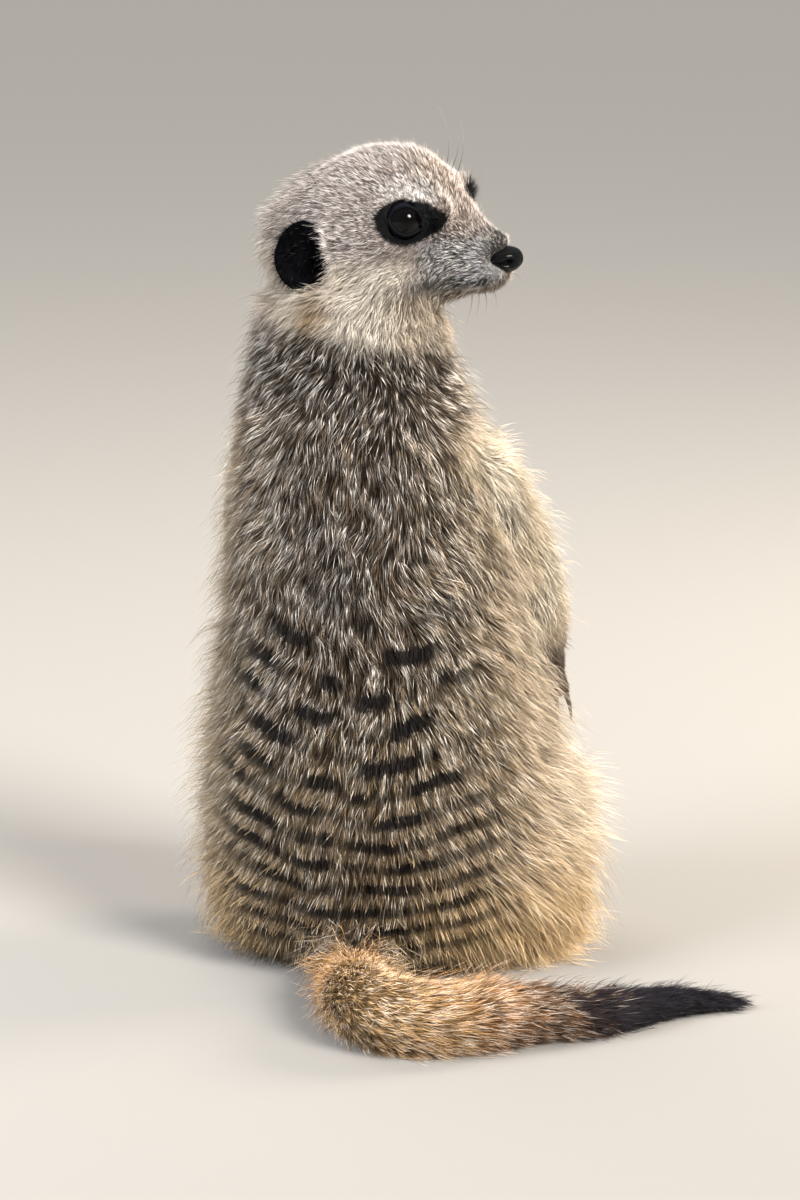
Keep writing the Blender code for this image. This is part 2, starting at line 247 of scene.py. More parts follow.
# %% Floor
FLOOR_SIZE = 30
FLOOR_GREY = (0.215, 0.207, 0.195)
half = FLOOR_SIZE / 2
floor_mesh = bpy.data.meshes.new("floor")
floor_corners = [(-half, -half, 0), (half, -half, 0), (half, half, 0), (-half, half, 0)]
floor_mesh.from_pydata(floor_corners, [], [(0, 1, 2, 3)])
floor = link_new("floor", floor_mesh)
floor_material, floor_tree, floor_shader = plain_material("pale_floor", FLOOR_GREY, 0.9, 0.1)
add_bump(floor_tree, floor_shader, add_noise(floor_tree, 60), 0.05, 0.001)
floor_mesh.materials.append(floor_material)
print("floor is", FLOOR_SIZE, "m wide")

# %% [markdown]
# ## The skin
# The solids of the flesh are laid over each other by a hair's breadth and joined by a voxel remesh, which
# closes the thin cuts between them. The skin then sinks below the outline by the depth of the coat. The depth
# differs from place to place, so each vertex first learns which solid it came from, and this knowledge is
# blurred over the surface, so that a short coat turns gently into a long one.

# %% Join the flesh
FLESH = [name for name in nodes if not any(word in name for word in ("eye", "nose", "claw", "ear_"))]
OVERLAP = 0.22 * MM
SKIN_VOXEL = 1.15 * MM


def welded_flesh():
    """All flesh solids in one mesh, each grown a little, and a tree that tells which solid is nearest."""
    mesh = bmesh.new()
    owners = []
    for index, name in enumerate(FLESH):
        part = bmesh.new()
        part.from_mesh(nodes[name].data)
        bmesh.ops.remove_doubles(part, verts=part.verts, dist=1e-6)
        bmesh.ops.recalc_face_normals(part, faces=part.faces)
        part.normal_update()
        for vertex in part.verts:
            vertex.co += vertex.normal * OVERLAP
        data = bpy.data.meshes.new("part")
        part.to_mesh(data)
        part.free()
        mesh.from_mesh(data)
        owners += [index] * (len(mesh.faces) - len(owners))
        bpy.data.meshes.remove(data)
    return mesh, owners, BVHTree.FromBMesh(mesh)


flesh, flesh_owners, flesh_tree = welded_flesh()
flesh_data = bpy.data.meshes.new("skin")
flesh.to_mesh(flesh_data)
flesh.free()
skin = link_new("skin", flesh_data)
remesh = skin.modifiers.new("join", "REMESH")
remesh.mode = "VOXEL"
remesh.voxel_size = SKIN_VOXEL
skin_mesh = bpy.data.meshes.new_from_object(skin.evaluated_get(bpy.context.evaluated_depsgraph_get()))
skin.modifiers.clear()
skin.data = skin_mesh
print("skin vertices after joining:", len(skin_mesh.vertices))


# %% Drop inner crumbs
def keep_outer_shell(mesh):
    """Keeps the largest island of vertices, which is the skin, and drops bubbles inside it."""
    work = bmesh.new()
    work.from_mesh(mesh)
    left = set(work.verts)
    islands = []
    while left:
        island = set()
        edge = [left.pop()]
        while edge:
            vertex = edge.pop()
            island.add(vertex)
            near = [e.other_vert(vertex) for e in vertex.link_edges]
            fresh = [v for v in near if v in left]
            left.difference_update(fresh)
            edge += fresh
        islands.append(island)
    largest = max(islands, key=len)
    bmesh.ops.delete(work, geom=[v for v in work.verts if v not in largest], context="VERTS")
    return work, len(islands)


work, island_count = keep_outer_shell(skin_mesh)
print("islands:", island_count)

# %% Refine the face
FACE_FROM = 2.0  # the part of the head in front of this, in head millimetres, gets a finer net
THROAT_BELOW = -24.0  # and nothing lower than this does
MUZZLE_FROM = 27.0  # the muzzle in front of this gets the finest net
EYE_CARE = 10.0  # and so do faces this near an eye

for reach_test in ("face", "eye"):
    chosen = []
    for edge in work.edges:
        place = in_head(np.array((edge.verts[0].co + edge.verts[1].co) / 2))
        if reach_test == "face":
            is_near = place[0] > FACE_FROM and place[2] > THROAT_BELOW
        else:
            side_of_eye = np.abs(place * (0, 1, 0)) + place * (1, 0, 1) - EYE_IN_HEAD
            is_near = np.linalg.norm(side_of_eye) < EYE_CARE or place[0] > MUZZLE_FROM
        if is_near:
            chosen.append(edge)
    bmesh.ops.subdivide_edges(work, edges=chosen, cuts=1, use_grid_fill=True)
bmesh.ops.triangulate(work, faces=[f for f in work.faces if len(f.verts) > 4])
work.to_mesh(skin_mesh)
work.free()
print("skin vertices:", len(skin_mesh.vertices))


# %% Arrays of the skin
def read_vertices(mesh, what="co"):
    """A mesh's vertex places or normals as an array."""
    values = np.empty(len(mesh.vertices) * 3)
    mesh.vertices.foreach_get(what, values)
    return values.reshape(-1, 3)


def write_vertices(mesh, points):
    """Moves a mesh's vertices to the given places."""
    mesh.vertices.foreach_set("co", points.ravel())
    mesh.update()


edge_ends = np.empty(len(skin_mesh.edges) * 2, dtype=int)
skin_mesh.edges.foreach_get("vertices", edge_ends)
edge_ends = edge_ends.reshape(-1, 2)
neighbours = np.bincount(edge_ends.ravel(), minlength=len(skin_mesh.vertices))


def blurred(values, rounds, keep=0.0):
    """Averages each value with its neighbours' over the skin, several times."""
    flat = np.array(values, dtype=float).reshape(len(values), -1)
    a, b = edge_ends.T
    for _ in range(rounds):
        total = np.empty_like(flat)
        for k in range(flat.shape[1]):
            total[:, k] = np.bincount(a, flat[b, k], len(flat)) + np.bincount(b, flat[a, k], len(flat))
        flat = keep * flat + (1 - keep) * (total / neighbours[:, None] + flat) / 2
    return flat.reshape(np.shape(values))


outline = blurred(read_vertices(skin_mesh), 2)
write_vertices(skin_mesh, outline)
outline_normals = read_vertices(skin_mesh, "normal")
owner_of_vertex = np.array([flesh_owners[flesh_tree.find_nearest(Vector(p))[2]] for p in outline])
print("outline measured:", outline.shape)

# %% [markdown]
# ## What the coat is like in each place
# The flesh solids fall into a few zones. Every zone has a usual hair length, a share of that length by which
# the tips stand off the skin, a hair width, and a number of hairs to the square centimetre.

# %% Zones
ZONES = {  # hair length mm, stand-off share, hair width mm, hairs per square centimetre, how far locks close
    "head": (3.6, 0.42, 0.18, 640, 0.16),
    "neck": (9.0, 0.48, 0.21, 335, 0.58),
    "trunk": (10.8, 0.45, 0.22, 315, 0.60),
    "thigh": (11.5, 0.46, 0.22, 310, 0.60),
    "hind_foot": (4.0, 0.28, 0.20, 320, 0.30),
    "upper_arm": (8.5, 0.34, 0.20, 380, 0.35),
    "forearm": (5.0, 0.30, 0.20, 380, 0.30),
    "forepaw": (2.2, 0.26, 0.18, 380, 0.15),
    "tail_root": (9.0, 0.36, 0.22, 330, 0.40),
    "tail_middle": (7.0, 0.38, 0.21, 360, 0.40),
    "tail_outer": (6.5, 0.30, 0.20, 380, 0.40),
    "tail_tip": (6.0, 0.20, 0.20, 420, 0.30),
}
ZONE_BLUR = 28
RUMP_ABOVE = 0.012  # the top of the tail's root, higher than this and nearer than the next, is coated as rump
RUMP_WITHIN = 0.072
zone_names = list(ZONES)


def zone_of_node(name):
    """The place in the list of the zone that a solid belongs to."""
    return next(i for i, zone in enumerate(zone_names) if name.startswith(zone))


zone_index = np.array([zone_of_node(name) for name in FLESH])[owner_of_vertex]
on_tail_root = zone_index == zone_names.index("tail_root")
is_rump = on_tail_root & (outline[:, 2] > RUMP_ABOVE) & (outline[:, 1] < RUMP_WITHIN)
zone_index[is_rump] = zone_names.index("trunk")
zone_share = blurred(np.eye(len(zone_names))[zone_index], ZONE_BLUR)
print("zones:", len(zone_names))


# %% Fields of the coat

def zone_field(column):
    """A zone number, blended over the skin."""
    return zone_share @ np.array([ZONES[z][column] for z in zone_names])


def share_of(*words, shares=zone_share):
    """How much each vertex of the skin, or each row of other shares, belongs to the named zones."""
    picked = [i for i, z in enumerate(zone_names) if z in words]
    return shares[:, picked].sum(axis=1)


hair_length, stand_off, hair_width, hair_density, clump_pull = (zone_field(k) for k in range(5))
print("hairs per square centimetre:", round(hair_density.min()), "to", round(hair_density.max()))

# %% [markdown]
# The middle line of the tail is the one line that has to be given by points. Along the trunk the line is
# close to upright, and each arm and leg needs only its joints.

# %% Middle lines of the limbs
TAIL_LINE = (  # millimetres, the line of the solid tail, with its start carried up into the rump
    (2, 26, 26),
    (0.3, 37.9, 14),
    (-7.7, 65.8, 9.2),
    (-14.8, 87.7, 10),
    (-24.2, 103.6, 10.7),
    (-36.2, 111.3, 10.7),
    (-47.2, 108.7, 10.4),
    (-56.8, 101.4, 9.9),
    (-70.3, 87.6, 8.1),
    (-85, 77.5, 6.6),
    (-101.3, 52.3, 4.4),
    (-116.5, 41.5, 2.5),
)
TRUNK_LINE = ((12.5, 8, 200), (9.5, 8, 148), (6, 2.5, 90), (1.5, 7.5, 30), (1.5, 9, 0))
ARM_LEAN = 0.055  # the chest leans to the left by this share of the height
ARM_LINE = (
    (29.3, 1, 150), (36, -8, 124), (39.8, -16, 106), (39.1, -31, 94.5), (36.4, -43.5, 84.5), (34.3, -55, 67)
)
LEG_LINE = ((28, 26, 44), (33, -4, 38), (36, -25, 38), (42, -11, 20), (42, 2, 9), (40, -17, 7), (36, -60, 3))


def side_line(line, side, lean=0.0):
    """A limb's line on one side, from millimetres to metres."""
    return np.array([(z * lean + x * side, y, z) for x, y, z in line]) * MM


def along_line(points, line):
    """How far along a line each point is (0 to 1), the way the line runs there, and the turn round it."""
    line = np.asarray(line, dtype=float)
    starts, steps = line[:-1], np.diff(line, axis=0)
    lengths = np.linalg.norm(steps, axis=1)
    before = np.concatenate([[0], np.cumsum(lengths)])
    best = np.full(len(points), np.inf)
    share = np.zeros(len(points))
    way = np.zeros((len(points), 3))
    off = np.zeros((len(points), 3))
    for i, (start, step) in enumerate(zip(starts, steps)):
        t = np.clip((points - start) @ step / (step @ step), 0, 1)
        away = points - (start + t[:, None] * step)
        gap = np.linalg.norm(away, axis=1)
        closer = gap < best
        best[closer] = gap[closer]
        share[closer] = (before[i] + t[closer] * lengths[i]) / before[-1]
        way[closer] = step / lengths[i]
        off[closer] = away[closer]
    reference = unit(np.cross(way, (0.31, 0.17, 0.93)))
    other = np.cross(way, reference)
    turn = np.arctan2((off * other).sum(1), (off * reference).sum(1)) / (2 * math.pi) + 0.5
    return share, way, turn


HEAD_LINE = from_head([NOSE_IN_HEAD, (20, 0, -1), (0, 0, 2), (-38, 0, -2)])
LINES = {"head": HEAD_LINE, "trunk": np.array(TRUNK_LINE) * MM, "tail": np.array(TAIL_LINE) * MM}
for word, side in BOTH_SIDES.items():
    LINES[f"arm_{word}"] = side_line(ARM_LINE, side, ARM_LEAN)
    LINES[f"leg_{word}"] = side_line(LEG_LINE, side)
print("middle lines:", sorted(LINES))

# %% [markdown]
# ## The face
# The hair is shortest round the nose and eyes, a little longer on the crown, and long on the cheeks, where it
# sweeps down and back into a pale ruff. Lengths are set from places in the head's own axes.

# %% Hair lengths of the head
ahead, aside, above = face_places(outline)
head_share = share_of("head")
eye_gap = np.linalg.norm(np.column_stack([ahead, aside, above]) - EYE_IN_HEAD, axis=1)
muzzle = smooth_step(ahead, 26, 36)
cheek = hump(ahead, -1, 13) * smooth_step(above, 2, -14) * smooth_step(aside, 3, 12)
ruff = smooth_step(above, -7, -15) * smooth_step(ahead, 26, 10)
nape = smooth_step(ahead, -12, -30)
whisker_pad = hump(ahead, 23, 8) * smooth_step(aside, 3, 7) * smooth_step(above, 6, 0)
face_length = 3.6 - 1.6 * muzzle + 3.2 * cheek + 4.2 * ruff + 3.2 * nape + 1.4 * whisker_pad
face_length += 1.8 * hump(ahead, -9, 5) * hump(above, -3, 11) * smooth_step(aside, 12, 18)  # before the ear
face_length *= 0.38 + 0.62 * smooth_step(eye_gap, 7, 15)
hair_length = hair_length * (1 - head_share) + head_share * face_length
print("longest hair of the head:", round(float(face_length[head_share > 0.9].max()), 1), "mm")

# %% Hair lengths of trunk and shanks
TRUNK_MIDDLE = np.array([0.0035, 0.006])
SHORTEST_HAIR = 1.1


def turn_round_trunk(points):
    """How far round the trunk each point is from the middle of the back, in degrees."""
    away = points[:, :2] - TRUNK_MIDDLE
    return np.degrees(np.abs(np.arctan2(away[:, 0], away[:, 1])))


trunk_share = share_of("trunk", "thigh")
from_middle = outline[:, :2] - TRUNK_MIDDLE
turn_from_back = turn_round_trunk(outline)
height = outline[:, 2] / MM
flank = hump(turn_from_back, 95, 38)
longer_on_flank = 3.5 * flank * smooth_step(height, 120, 60)
hair_length += trunk_share * (longer_on_flank - 2.0 * smooth_step(turn_from_back, 120, 165))
shank = share_of("hind_foot") * smooth_step(height, 12, 26)
hair_length += 5.0 * shank
hair_length = np.maximum(hair_length, SHORTEST_HAIR)
tip_height = hair_length * (stand_off + head_share * (0.14 * whisker_pad + 0.08))
print("hair lengths in mm:", round(hair_length.min(), 1), "to", round(hair_length.max(), 1))

# %% Sink the skin below the outline
SINK_SHARE = 0.92
TAIL_ZONES = ("tail_root", "tail_middle", "tail_outer", "tail_tip")
is_tail = share_of(*TAIL_ZONES) > 0.3
sink = tip_height * SINK_SHARE
most = 5.2 - 3.9 * smooth_step(along_line(outline, LINES["tail"])[0], 0.45, 1.0)  # the tail thins to its tip
sink = np.where(is_tail, np.minimum(sink, most), sink)
tip_height = np.where(is_tail, np.minimum(tip_height, most + 0.8), tip_height)
on_floor = smooth_step(height, 3.0, 0.6)
sink = blurred(sink * (1 - 0.8 * on_floor), 6)
body = outline - outline_normals * (sink * MM)[:, None]
body = blurred(body, 4)
print("skin sinks by", round(sink.min(), 1), "to", round(sink.max(), 1), "mm")

# %% [markdown]
# The lids close over the eyeball to an almond opening. Skin inside the opening is pushed behind the ball, skin
# round it is lifted just clear of the ball, and the change between them is the edge of the lid. The mouth is a
# fine groove from under the nose to below the eye, and the muzzle swells a little above it.

# %% The eyes' own axes
EYE_RADIUS = 5.9
EYE_AIM = {word: unit(np.array([0.42, side * 0.89, 0.18]) @ HEAD_AXES) for word, side in BOTH_SIDES.items()}
EYE_TILT = math.radians(-12)  # the inner corner lies lower
EYE_OPENING = (4.45, 3.8)  # half width and half height of the opening between the lids


def eye_axes(word):
    """The eye's own axes: across towards the nose, up, and out."""
    out = EYE_AIM[word]
    up = unit(head_up - out * (head_up @ out))
    across = np.cross(up, out)
    across = across * np.sign(across @ head_forward)
    cos, sin = math.cos(EYE_TILT), math.sin(EYE_TILT)
    return across * cos + up * sin, up * cos - across * sin, out


def from_eye(points, word):
    """Offsets from an eye's middle and their length, then their parts across, up and out, in millimetres."""
    away = (points - eye_middles[word]) / MM
    return away, np.linalg.norm(away, axis=1), *(away @ axis for axis in eye_axes(word))


def in_oval(x, y, half_width, half_height):
    """Less than 1 inside an oval round the origin, 1 on its edge, more outside."""
    return np.sqrt((x / half_width) ** 2 + (y / half_height) ** 2)


print("eyes look along", {word: [round(float(c), 2) for c in aim] for word, aim in EYE_AIM.items()})

# %% Lids
LID_LIFT = 0.5
LID_ZONE = 11  # lids shape the skin up to this far from the eye's middle
BEHIND_BALL = 1.4  # skin inside the opening lies this deep below the ball's surface
lid_radius = EYE_RADIUS + LID_LIFT
for word in BOTH_SIDES:
    away, distance, x, y, z = from_eye(body, word)
    distance_or_more = np.maximum(distance, 1e-6)
    opening = in_oval(x / distance_or_more * EYE_RADIUS, y / distance_or_more * EYE_RADIUS, *EYE_OPENING)
    near = (z > 0) & (distance < LID_ZONE)
    inside = near & (opening < 1.0)
    around = near & ~inside
    lid_reach = np.where(z > 0, lid_radius + 1.2 * smooth_step(opening, 1.15, 1.8), 0)
    target = np.where(inside, EYE_RADIUS - BEHIND_BALL, np.maximum(distance, lid_reach))
    fade = smooth_step(distance, LID_ZONE, 8)
    target = np.where(around, target * fade + distance * (1 - fade), target)
    snug = lid_radius + (distance - lid_radius) * smooth_step(opening, 0.95, 1.5)
    settle = around & (opening < 1.5) & (distance > lid_radius)
    target = np.where(settle, np.minimum(target, snug), target)
    target = np.where(near, target, distance)
    body = eye_middles[word] + away / distance_or_more[:, None] * target[:, None] * MM
print("lids lie", LID_LIFT, "mm over the balls")

# %% A seat for the nose pad
NOSE_PAD_MIDDLE = np.array([35.0, 0.0, -4.2])
NOSE_HALF = np.array([6.0, 5.9, 4.3])
face = in_head(body)
pad_place = (face - NOSE_PAD_MIDDLE) / NOSE_HALF
pad_reach = np.linalg.norm(pad_place, axis=1)
under_pad = smooth_step(face[:, 0], 28.5, 31.5) * smooth_step(pad_reach, 1.38, 1.12)
settled = pad_reach + (np.minimum(pad_reach, 0.55) - pad_reach) * under_pad
body = from_head(NOSE_PAD_MIDDLE + pad_place * (settled / pad_reach)[:, None] * NOSE_HALF)
print("nose pad sits", NOSE_PAD_MIDDLE[0], "mm in front of the skull's middle")

# %% Mouth and muzzle
MOUTH_BACK = (12.0, -12.6)  # ahead and above, in head millimetres
MOUTH_FRONT = (36.5, -9.6)
MOUTH_SAG = 1.0
LOWEST_SKIN = 0.0002


def mouth_path(ahead):
    """How far along the mouth each place is, 0 at its corner and 1 in front, and the mouth's height there."""
    run = (ahead - MOUTH_BACK[0]) / (MOUTH_FRONT[0] - MOUTH_BACK[0])
    straight = MOUTH_BACK[1] + (MOUTH_FRONT[1] - MOUTH_BACK[1]) * run
    return run, straight - MOUTH_SAG * np.sin(math.pi * np.clip(run, 0, 1))


ahead, aside, above = face_places(body)
mouth_run, mouth_height = mouth_path(ahead)
mouth = hump(above, mouth_height, 0.75) * smooth_step(mouth_run, -0.05, 0.08) * head_share
lip_pad = hump(above, mouth_height + 3.0, 2.4) * hump(ahead, 30, 6)
write_vertices(skin_mesh, body)
skin_normals = read_vertices(skin_mesh, "normal")
body = body + skin_normals * ((0.5 * lip_pad * head_share - 0.8 * mouth) * MM)[:, None]
body[:, 2] = np.maximum(body[:, 2], LOWEST_SKIN)
write_vertices(skin_mesh, body)
skin_normals = read_vertices(skin_mesh, "normal")
skin_mesh.shade_smooth()
print("face shaped")

# %% [markdown]
# ## The lie of the coat
# Hair points away from the nose over the whole head, down the neck and trunk, out along each arm and leg, and
# to the tip of the tail. On the flanks it sweeps forward as well as down. These directions are first written
# down zone by zone and then blurred and laid flat on the skin, so that the flow has no seams.

# %% Directions on trunk and head
to_side = np.sign(from_middle[:, 0]) * smooth_step(np.abs(from_middle[:, 0]), 0.004, 0.03)
sweep = 0.45 + 0.30 * smooth_step(from_middle[:, 0], 0.004, -0.02) * smooth_step(height, 70, 110)
sweep = sweep * smooth_step(turn_from_back, 4, 40) * smooth_step(turn_from_back, 150, 110)
forward_on_flank = -0.45 * flank * smooth_step(height, 100, 60)
trunk_way = np.column_stack([to_side * sweep, forward_on_flank, -np.ones(len(body))])

ahead, aside, above = face_places(body)
head_way = unit(body - from_head(NOSE_IN_HEAD + (3, 0, -1)))
cheek_pull = smooth_step(above, 6, -12) * smooth_step(ahead, 30, 4)
head_way -= HEAD_AXES[2] * 0.9 * cheek_pull[:, None]
head_way[:, 2] -= 0.9 * smooth_step(ahead, -8, -26)
for word in BOTH_SIDES:
    away, gap, *_ = from_eye(body, word)
    head_way += unit(away) * (1.1 * smooth_step(gap, 12, 6.5))[:, None]
print("trunk and head done")

# %% Directions everywhere
way_of = {name: along_line(body, line)[1] for name, line in LINES.items()}
flow = np.zeros_like(body)
for zone in zone_names:
    mask = share_of(zone)[:, None]
    if zone == "head":
        flow += mask * head_way
    elif zone in ("neck", "trunk"):
        flow += mask * trunk_way
    elif zone.startswith("tail"):
        flow += mask * way_of["tail"]
    else:
        is_left = (from_middle[:, 0] > 0)[:, None]
        limb = "arm" if "arm" in zone or "paw" in zone else "leg"
        way = np.where(is_left, way_of[f"{limb}_left"], way_of[f"{limb}_right"])
        if zone == "thigh":
            way = 0.25 * way + 0.75 * unit(trunk_way)
        flow += mask * way


def flat_on_skin(vectors, normals):
    """Takes away the part of each vector that points into or out of the skin."""
    return unit(vectors - normals * (vectors * normals).sum(axis=1, keepdims=True))


for _ in range(3):
    flow = flat_on_skin(blurred(flow, 8), skin_normals)
print("directions set")

# %% [markdown]
# ## Colour zones and dark rows
# A meerkat's back is grizzled: pale tips over dark roots. Across it run about a dozen dark rows, even near the
# rump, broken into spots and staggered at the spine higher up, and they rise towards the flanks. Belly, chest
# and arms are cream, the rump is golden near the ground, and the tail goes from rufous and straw gold over
# brown to a blue-black tip. The eye patches and ears are black. One function gives the ground colour of any
# place, and a second one says how dark the rows are there.

# %% Colours
def linear(red, green, blue):
    """Colour numbers from 0 to 255 as light amounts."""
    s = np.array([red, green, blue]) / 255
    return np.where(s <= 0.04045, s / 12.92, ((s + 0.055) / 1.055) ** 2.4)


GRIZZLE = linear(176, 156, 138)
GRIZZLE_LOW = linear(196, 168, 130)
# brown patches on the upper back: the underfur's own brown, with painted shade where the coat would part
PARTING_BROWN_AND_SHADE = linear(96, 78, 58)
ELBOW_SHADE = linear(58, 50, 38)
TAN = linear(190, 158, 120)
CREAM = linear(246, 228, 202)
ARM_CREAM = linear(255, 242, 220)
BELLY = linear(238, 212, 176)
CROWN = linear(232, 214, 204)
FOREHEAD = linear(230, 206, 188)
BROW = linear(242, 236, 232)
MUZZLE_GREY = linear(246, 242, 240)
MOUTH_DARK = linear(40, 40, 38)
CHIN = linear(250, 232, 208)
CHEEK = linear(252, 240, 222)
NECK_GOLD = linear(160, 128, 82)
COLLAR = linear(106, 92, 74)
GOLD = linear(250, 212, 156)
RUFOUS = linear(220, 156, 84)
STRAW = linear(244, 200, 142)
TAIL_BROWN = linear(188, 128, 78)
BLACK = linear(4, 5, 7)
TAIL_BLACK = linear(38, 35, 42)
PATCH = linear(7, 8, 13)
FOOT = linear(226, 200, 168)
# painted shade on wrists and forepaws, for the dark gap between arm and flank
PAW_PAINTED_SHADE = linear(112, 94, 78)
NOSE_BRIDGE = linear(70, 66, 64)
EAR_GREY = linear(90, 84, 80)
print("colours ready")


# %% Wandering numbers and blends
def wander(points, scale, seed):
    """Smooth random numbers from 0 to 1 that change over about the given length."""
    random = np.random.default_rng(seed)
    total = np.zeros(len(points))
    for _ in range(6):
        way = random.normal(size=3)
        phase = random.uniform(0, 2 * math.pi)
        total += np.sin(points @ way / scale * 2.2 + phase)
    return 0.5 + 0.5 * np.clip(total / 3.2, -1, 1)


def blend(colour, other, share):
    """Rows of colours, or one colour, mixed with another by each row's share."""
    return colour * (1 - share[:, None]) + other * share[:, None]


print("a wandering number:", round(float(wander(body[:1], 8 * MM, 11)[0]), 3))

# %% Eye patches
PATCH_SHAPES = {  # how steeply the patch rises towards the nose, its length there, and how much it narrows
    "left": (0.42, 18.0, 0.6),
    "right": (0.22, 13.4, 2.2),
}


def eye_patch(points):
    """1 on the black patch round each eye: a drop with its point towards the nose."""
    dark = np.zeros(len(points))
    for word in BOTH_SIDES:
        _, _, x, y, z = from_eye(points, word)
        slope, front, taper = PATCH_SHAPES[word]
        y = y + 0.9 - slope * np.maximum(x, 0)
        half_height = 7.2 - taper * smooth_step(x, 3, 12) - 1.6 * smooth_step(x, -3, -11)
        half_width = np.where(x > 0, front, 10.4)
        edge = in_oval(x, y, half_width, half_height) + 0.06 * (wander(points, 2 * MM, 3) - 0.5)
        dark = np.maximum(dark, smooth_step(edge, 1.08, 0.86) * (z > -4))
    return dark


print("share of the skin in the patches:", round(float((eye_patch(body) > 0.5).mean()), 3))

# %% Dark rows
ROW_HEIGHTS = (4, 9.5, 15.5, 22, 28.8, 36, 43.5, 51.5, 60, 69, 79, 89.5, 100.5, 112)
ROW_SHIFT = 0.45  # rows of the two sides are staggered by this share higher up
SPINE = (1.5, 6.0)  # the upright line that the rows run round, mm


def rows(points):
    """Which row each point is on, a number that is whole in the middle of a row, and how strong rows are."""
    x = points[:, 0] / MM - SPINE[0]
    y = points[:, 1] / MM - SPINE[1]
    z = points[:, 2] / MM
    turn = np.degrees(np.abs(np.arctan2(x, y)))
    rise = (0.0034 + 0.0034 * smooth_step(z, 20, 75)) * x**2
    ragged = 3.0 * (wander(points, 8 * MM, 11) - 0.5) * (0.65 + 0.5 * smooth_step(z, 40, 90))
    at = np.interp(z - rise + ragged, ROW_HEIGHTS, np.arange(len(ROW_HEIGHTS)))
    at = at + ROW_SHIFT * smooth_step(x, 1.5, -1.5) * smooth_step(z, 22, 60)
    row = np.round(at)
    spot = 0.5 + 0.5 * np.sin(x / (4.2 + 0.6 * np.sin(row * 2.3)) + row * 2.4 + np.where(x < 0, 1.7, 0))
    broken = 0.4 + 0.6 * smooth_step(z, 40, 95)
    strength = 1 - broken * (1 - smooth_step(spot, 0.2, 0.6)) * 0.95
    spine = 1 - 0.5 * hump(x, 0, 2.6) * smooth_step(z, 12, 30)
    fade = smooth_step(turn, 70, 40) * smooth_step(z, 124, 98) * smooth_step(points[:, 1] / MM, 6, 22)
    return at, strength * spine * fade


def dark_rows(points, shares):
    """Row numbers, and the rows' strength where the trunk and thighs are."""
    at, strength = rows(points)
    return at, strength * smooth_step(share_of("trunk", "thigh", shares=shares), 0.3, 0.7)


skin_row_at, skin_row_strength = dark_rows(body, zone_share)
print("rows reach:", round(float(skin_row_strength.mean()), 3))


# %% Ground colours of trunk and neck
def trunk_colour(points, patchy):
    """Grizzled back with brown partings, partly painted shade, cream belly, golden rump, and painted shade
    behind each elbow.
    """
    height = points[:, 2] / MM
    turn = turn_round_trunk(points)
    trunk = blend(GRIZZLE, GRIZZLE_LOW, smooth_step(height, 110, 70))
    trunk = blend(trunk, TAN, 0.5 * smooth_step(patchy, 0.45, 0.75))
    # brown partings: the underfur's own brown, with painted shade of the gaps
    parted_brown_and_shade = smooth_step(wander(points, 8 * MM, 6), 0.62, 0.85) * smooth_step(height, 60, 100)
    trunk = blend(trunk, PARTING_BROWN_AND_SHADE, 0.6 * parted_brown_and_shade)
    trunk = blend(trunk, BELLY, 0.55 * smooth_step(turn, 16, 44) + 0.35 * smooth_step(turn, 46, 80))
    trunk = blend(trunk, CREAM, smooth_step(turn, 66, 105) * 0.9)
    off_spine = smooth_step(turn + 24 * (patchy - 0.5), 18, 50)
    trunk = blend(trunk, GOLD, smooth_step(height, 46, 8) * off_spine * 0.85)
    trunk = blend(trunk, GOLD, 0.4 * smooth_step(height, 18, 6))
    beyond_elbow = np.abs(points[:, 0] / MM - ARM_LEAN * height) - 34
    shade = hump(beyond_elbow, 0, 9) * hump(points[:, 1] / MM, -28, 12) * hump(height, 78, 10)
    return blend(trunk, ELBOW_SHADE, np.clip(1.6 * shade, 0, 1))


def neck_colour(points, patchy):
    """Pale throat and a dark collar over the shoulders."""
    height = points[:, 2] / MM
    turn = turn_round_trunk(points)
    collar = hump(height + 6 * (patchy - 0.5), 183, 12) * smooth_step(turn + 30 * (patchy - 0.5), 122, 40)
    return blend(blend(GRIZZLE, CREAM, smooth_step(turn, 62, 120) * 0.85), COLLAR, 0.85 * collar)


patchy_skin = wander(body, 14 * MM, 5)
print("mean of the trunk:", np.round(trunk_colour(body, patchy_skin).mean(axis=0), 2))


# %% Ground colour of the head
def head_colour(points):
    """Crown, forehead, brow, pale cheek, grey muzzle, dark lips, chin, golden jaw, and eye patches."""
    ahead, aside, above = face_places(points)
    head = blend(CROWN, FOREHEAD, hump(ahead, 17, 9) * smooth_step(above, 2, 12))
    brow = hump(ahead, 12, 9) * hump(above, 18.5, 4.5) * smooth_step(aside, 4, 10)
    head = blend(head, BROW, 0.8 * brow)
    head = blend(head, CHEEK, smooth_step(above, 4, -6) * smooth_step(ahead, 20, 9))
    on_muzzle = smooth_step(ahead, 11, 19) * smooth_step(above, 7, 1)
    head = blend(head, MUZZLE_GREY, on_muzzle * smooth_step(aside, 1.5, 6))
    head = blend(head, NOSE_BRIDGE, smooth_step(ahead, 28.5, 34) * smooth_step(above, -6, -1) * 0.9)
    run, lip = mouth_path(ahead)
    over_lip = hump(above, lip + 1.6, 2.3) * smooth_step(run, -0.1, 0.15) * smooth_step(run, 1.0, 0.8)
    head = blend(head, MOUTH_DARK, 0.85 * over_lip)
    head = blend(head, CHIN, smooth_step(above - lip, 0.3, -1.2) * smooth_step(run, -0.35, 0.1))
    head = blend(head, NECK_GOLD, 0.9 * hump(ahead, -16, 6) * hump(above, -18, 9))
    head = blend(head, GRIZZLE, smooth_step(ahead, -22, -32) * 0.6)
    return blend(head, PATCH, eye_patch(points) * (ahead > 0))


print("mean of the head:", np.round(head_colour(body[head_share > 0.9]).mean(axis=0), 2))


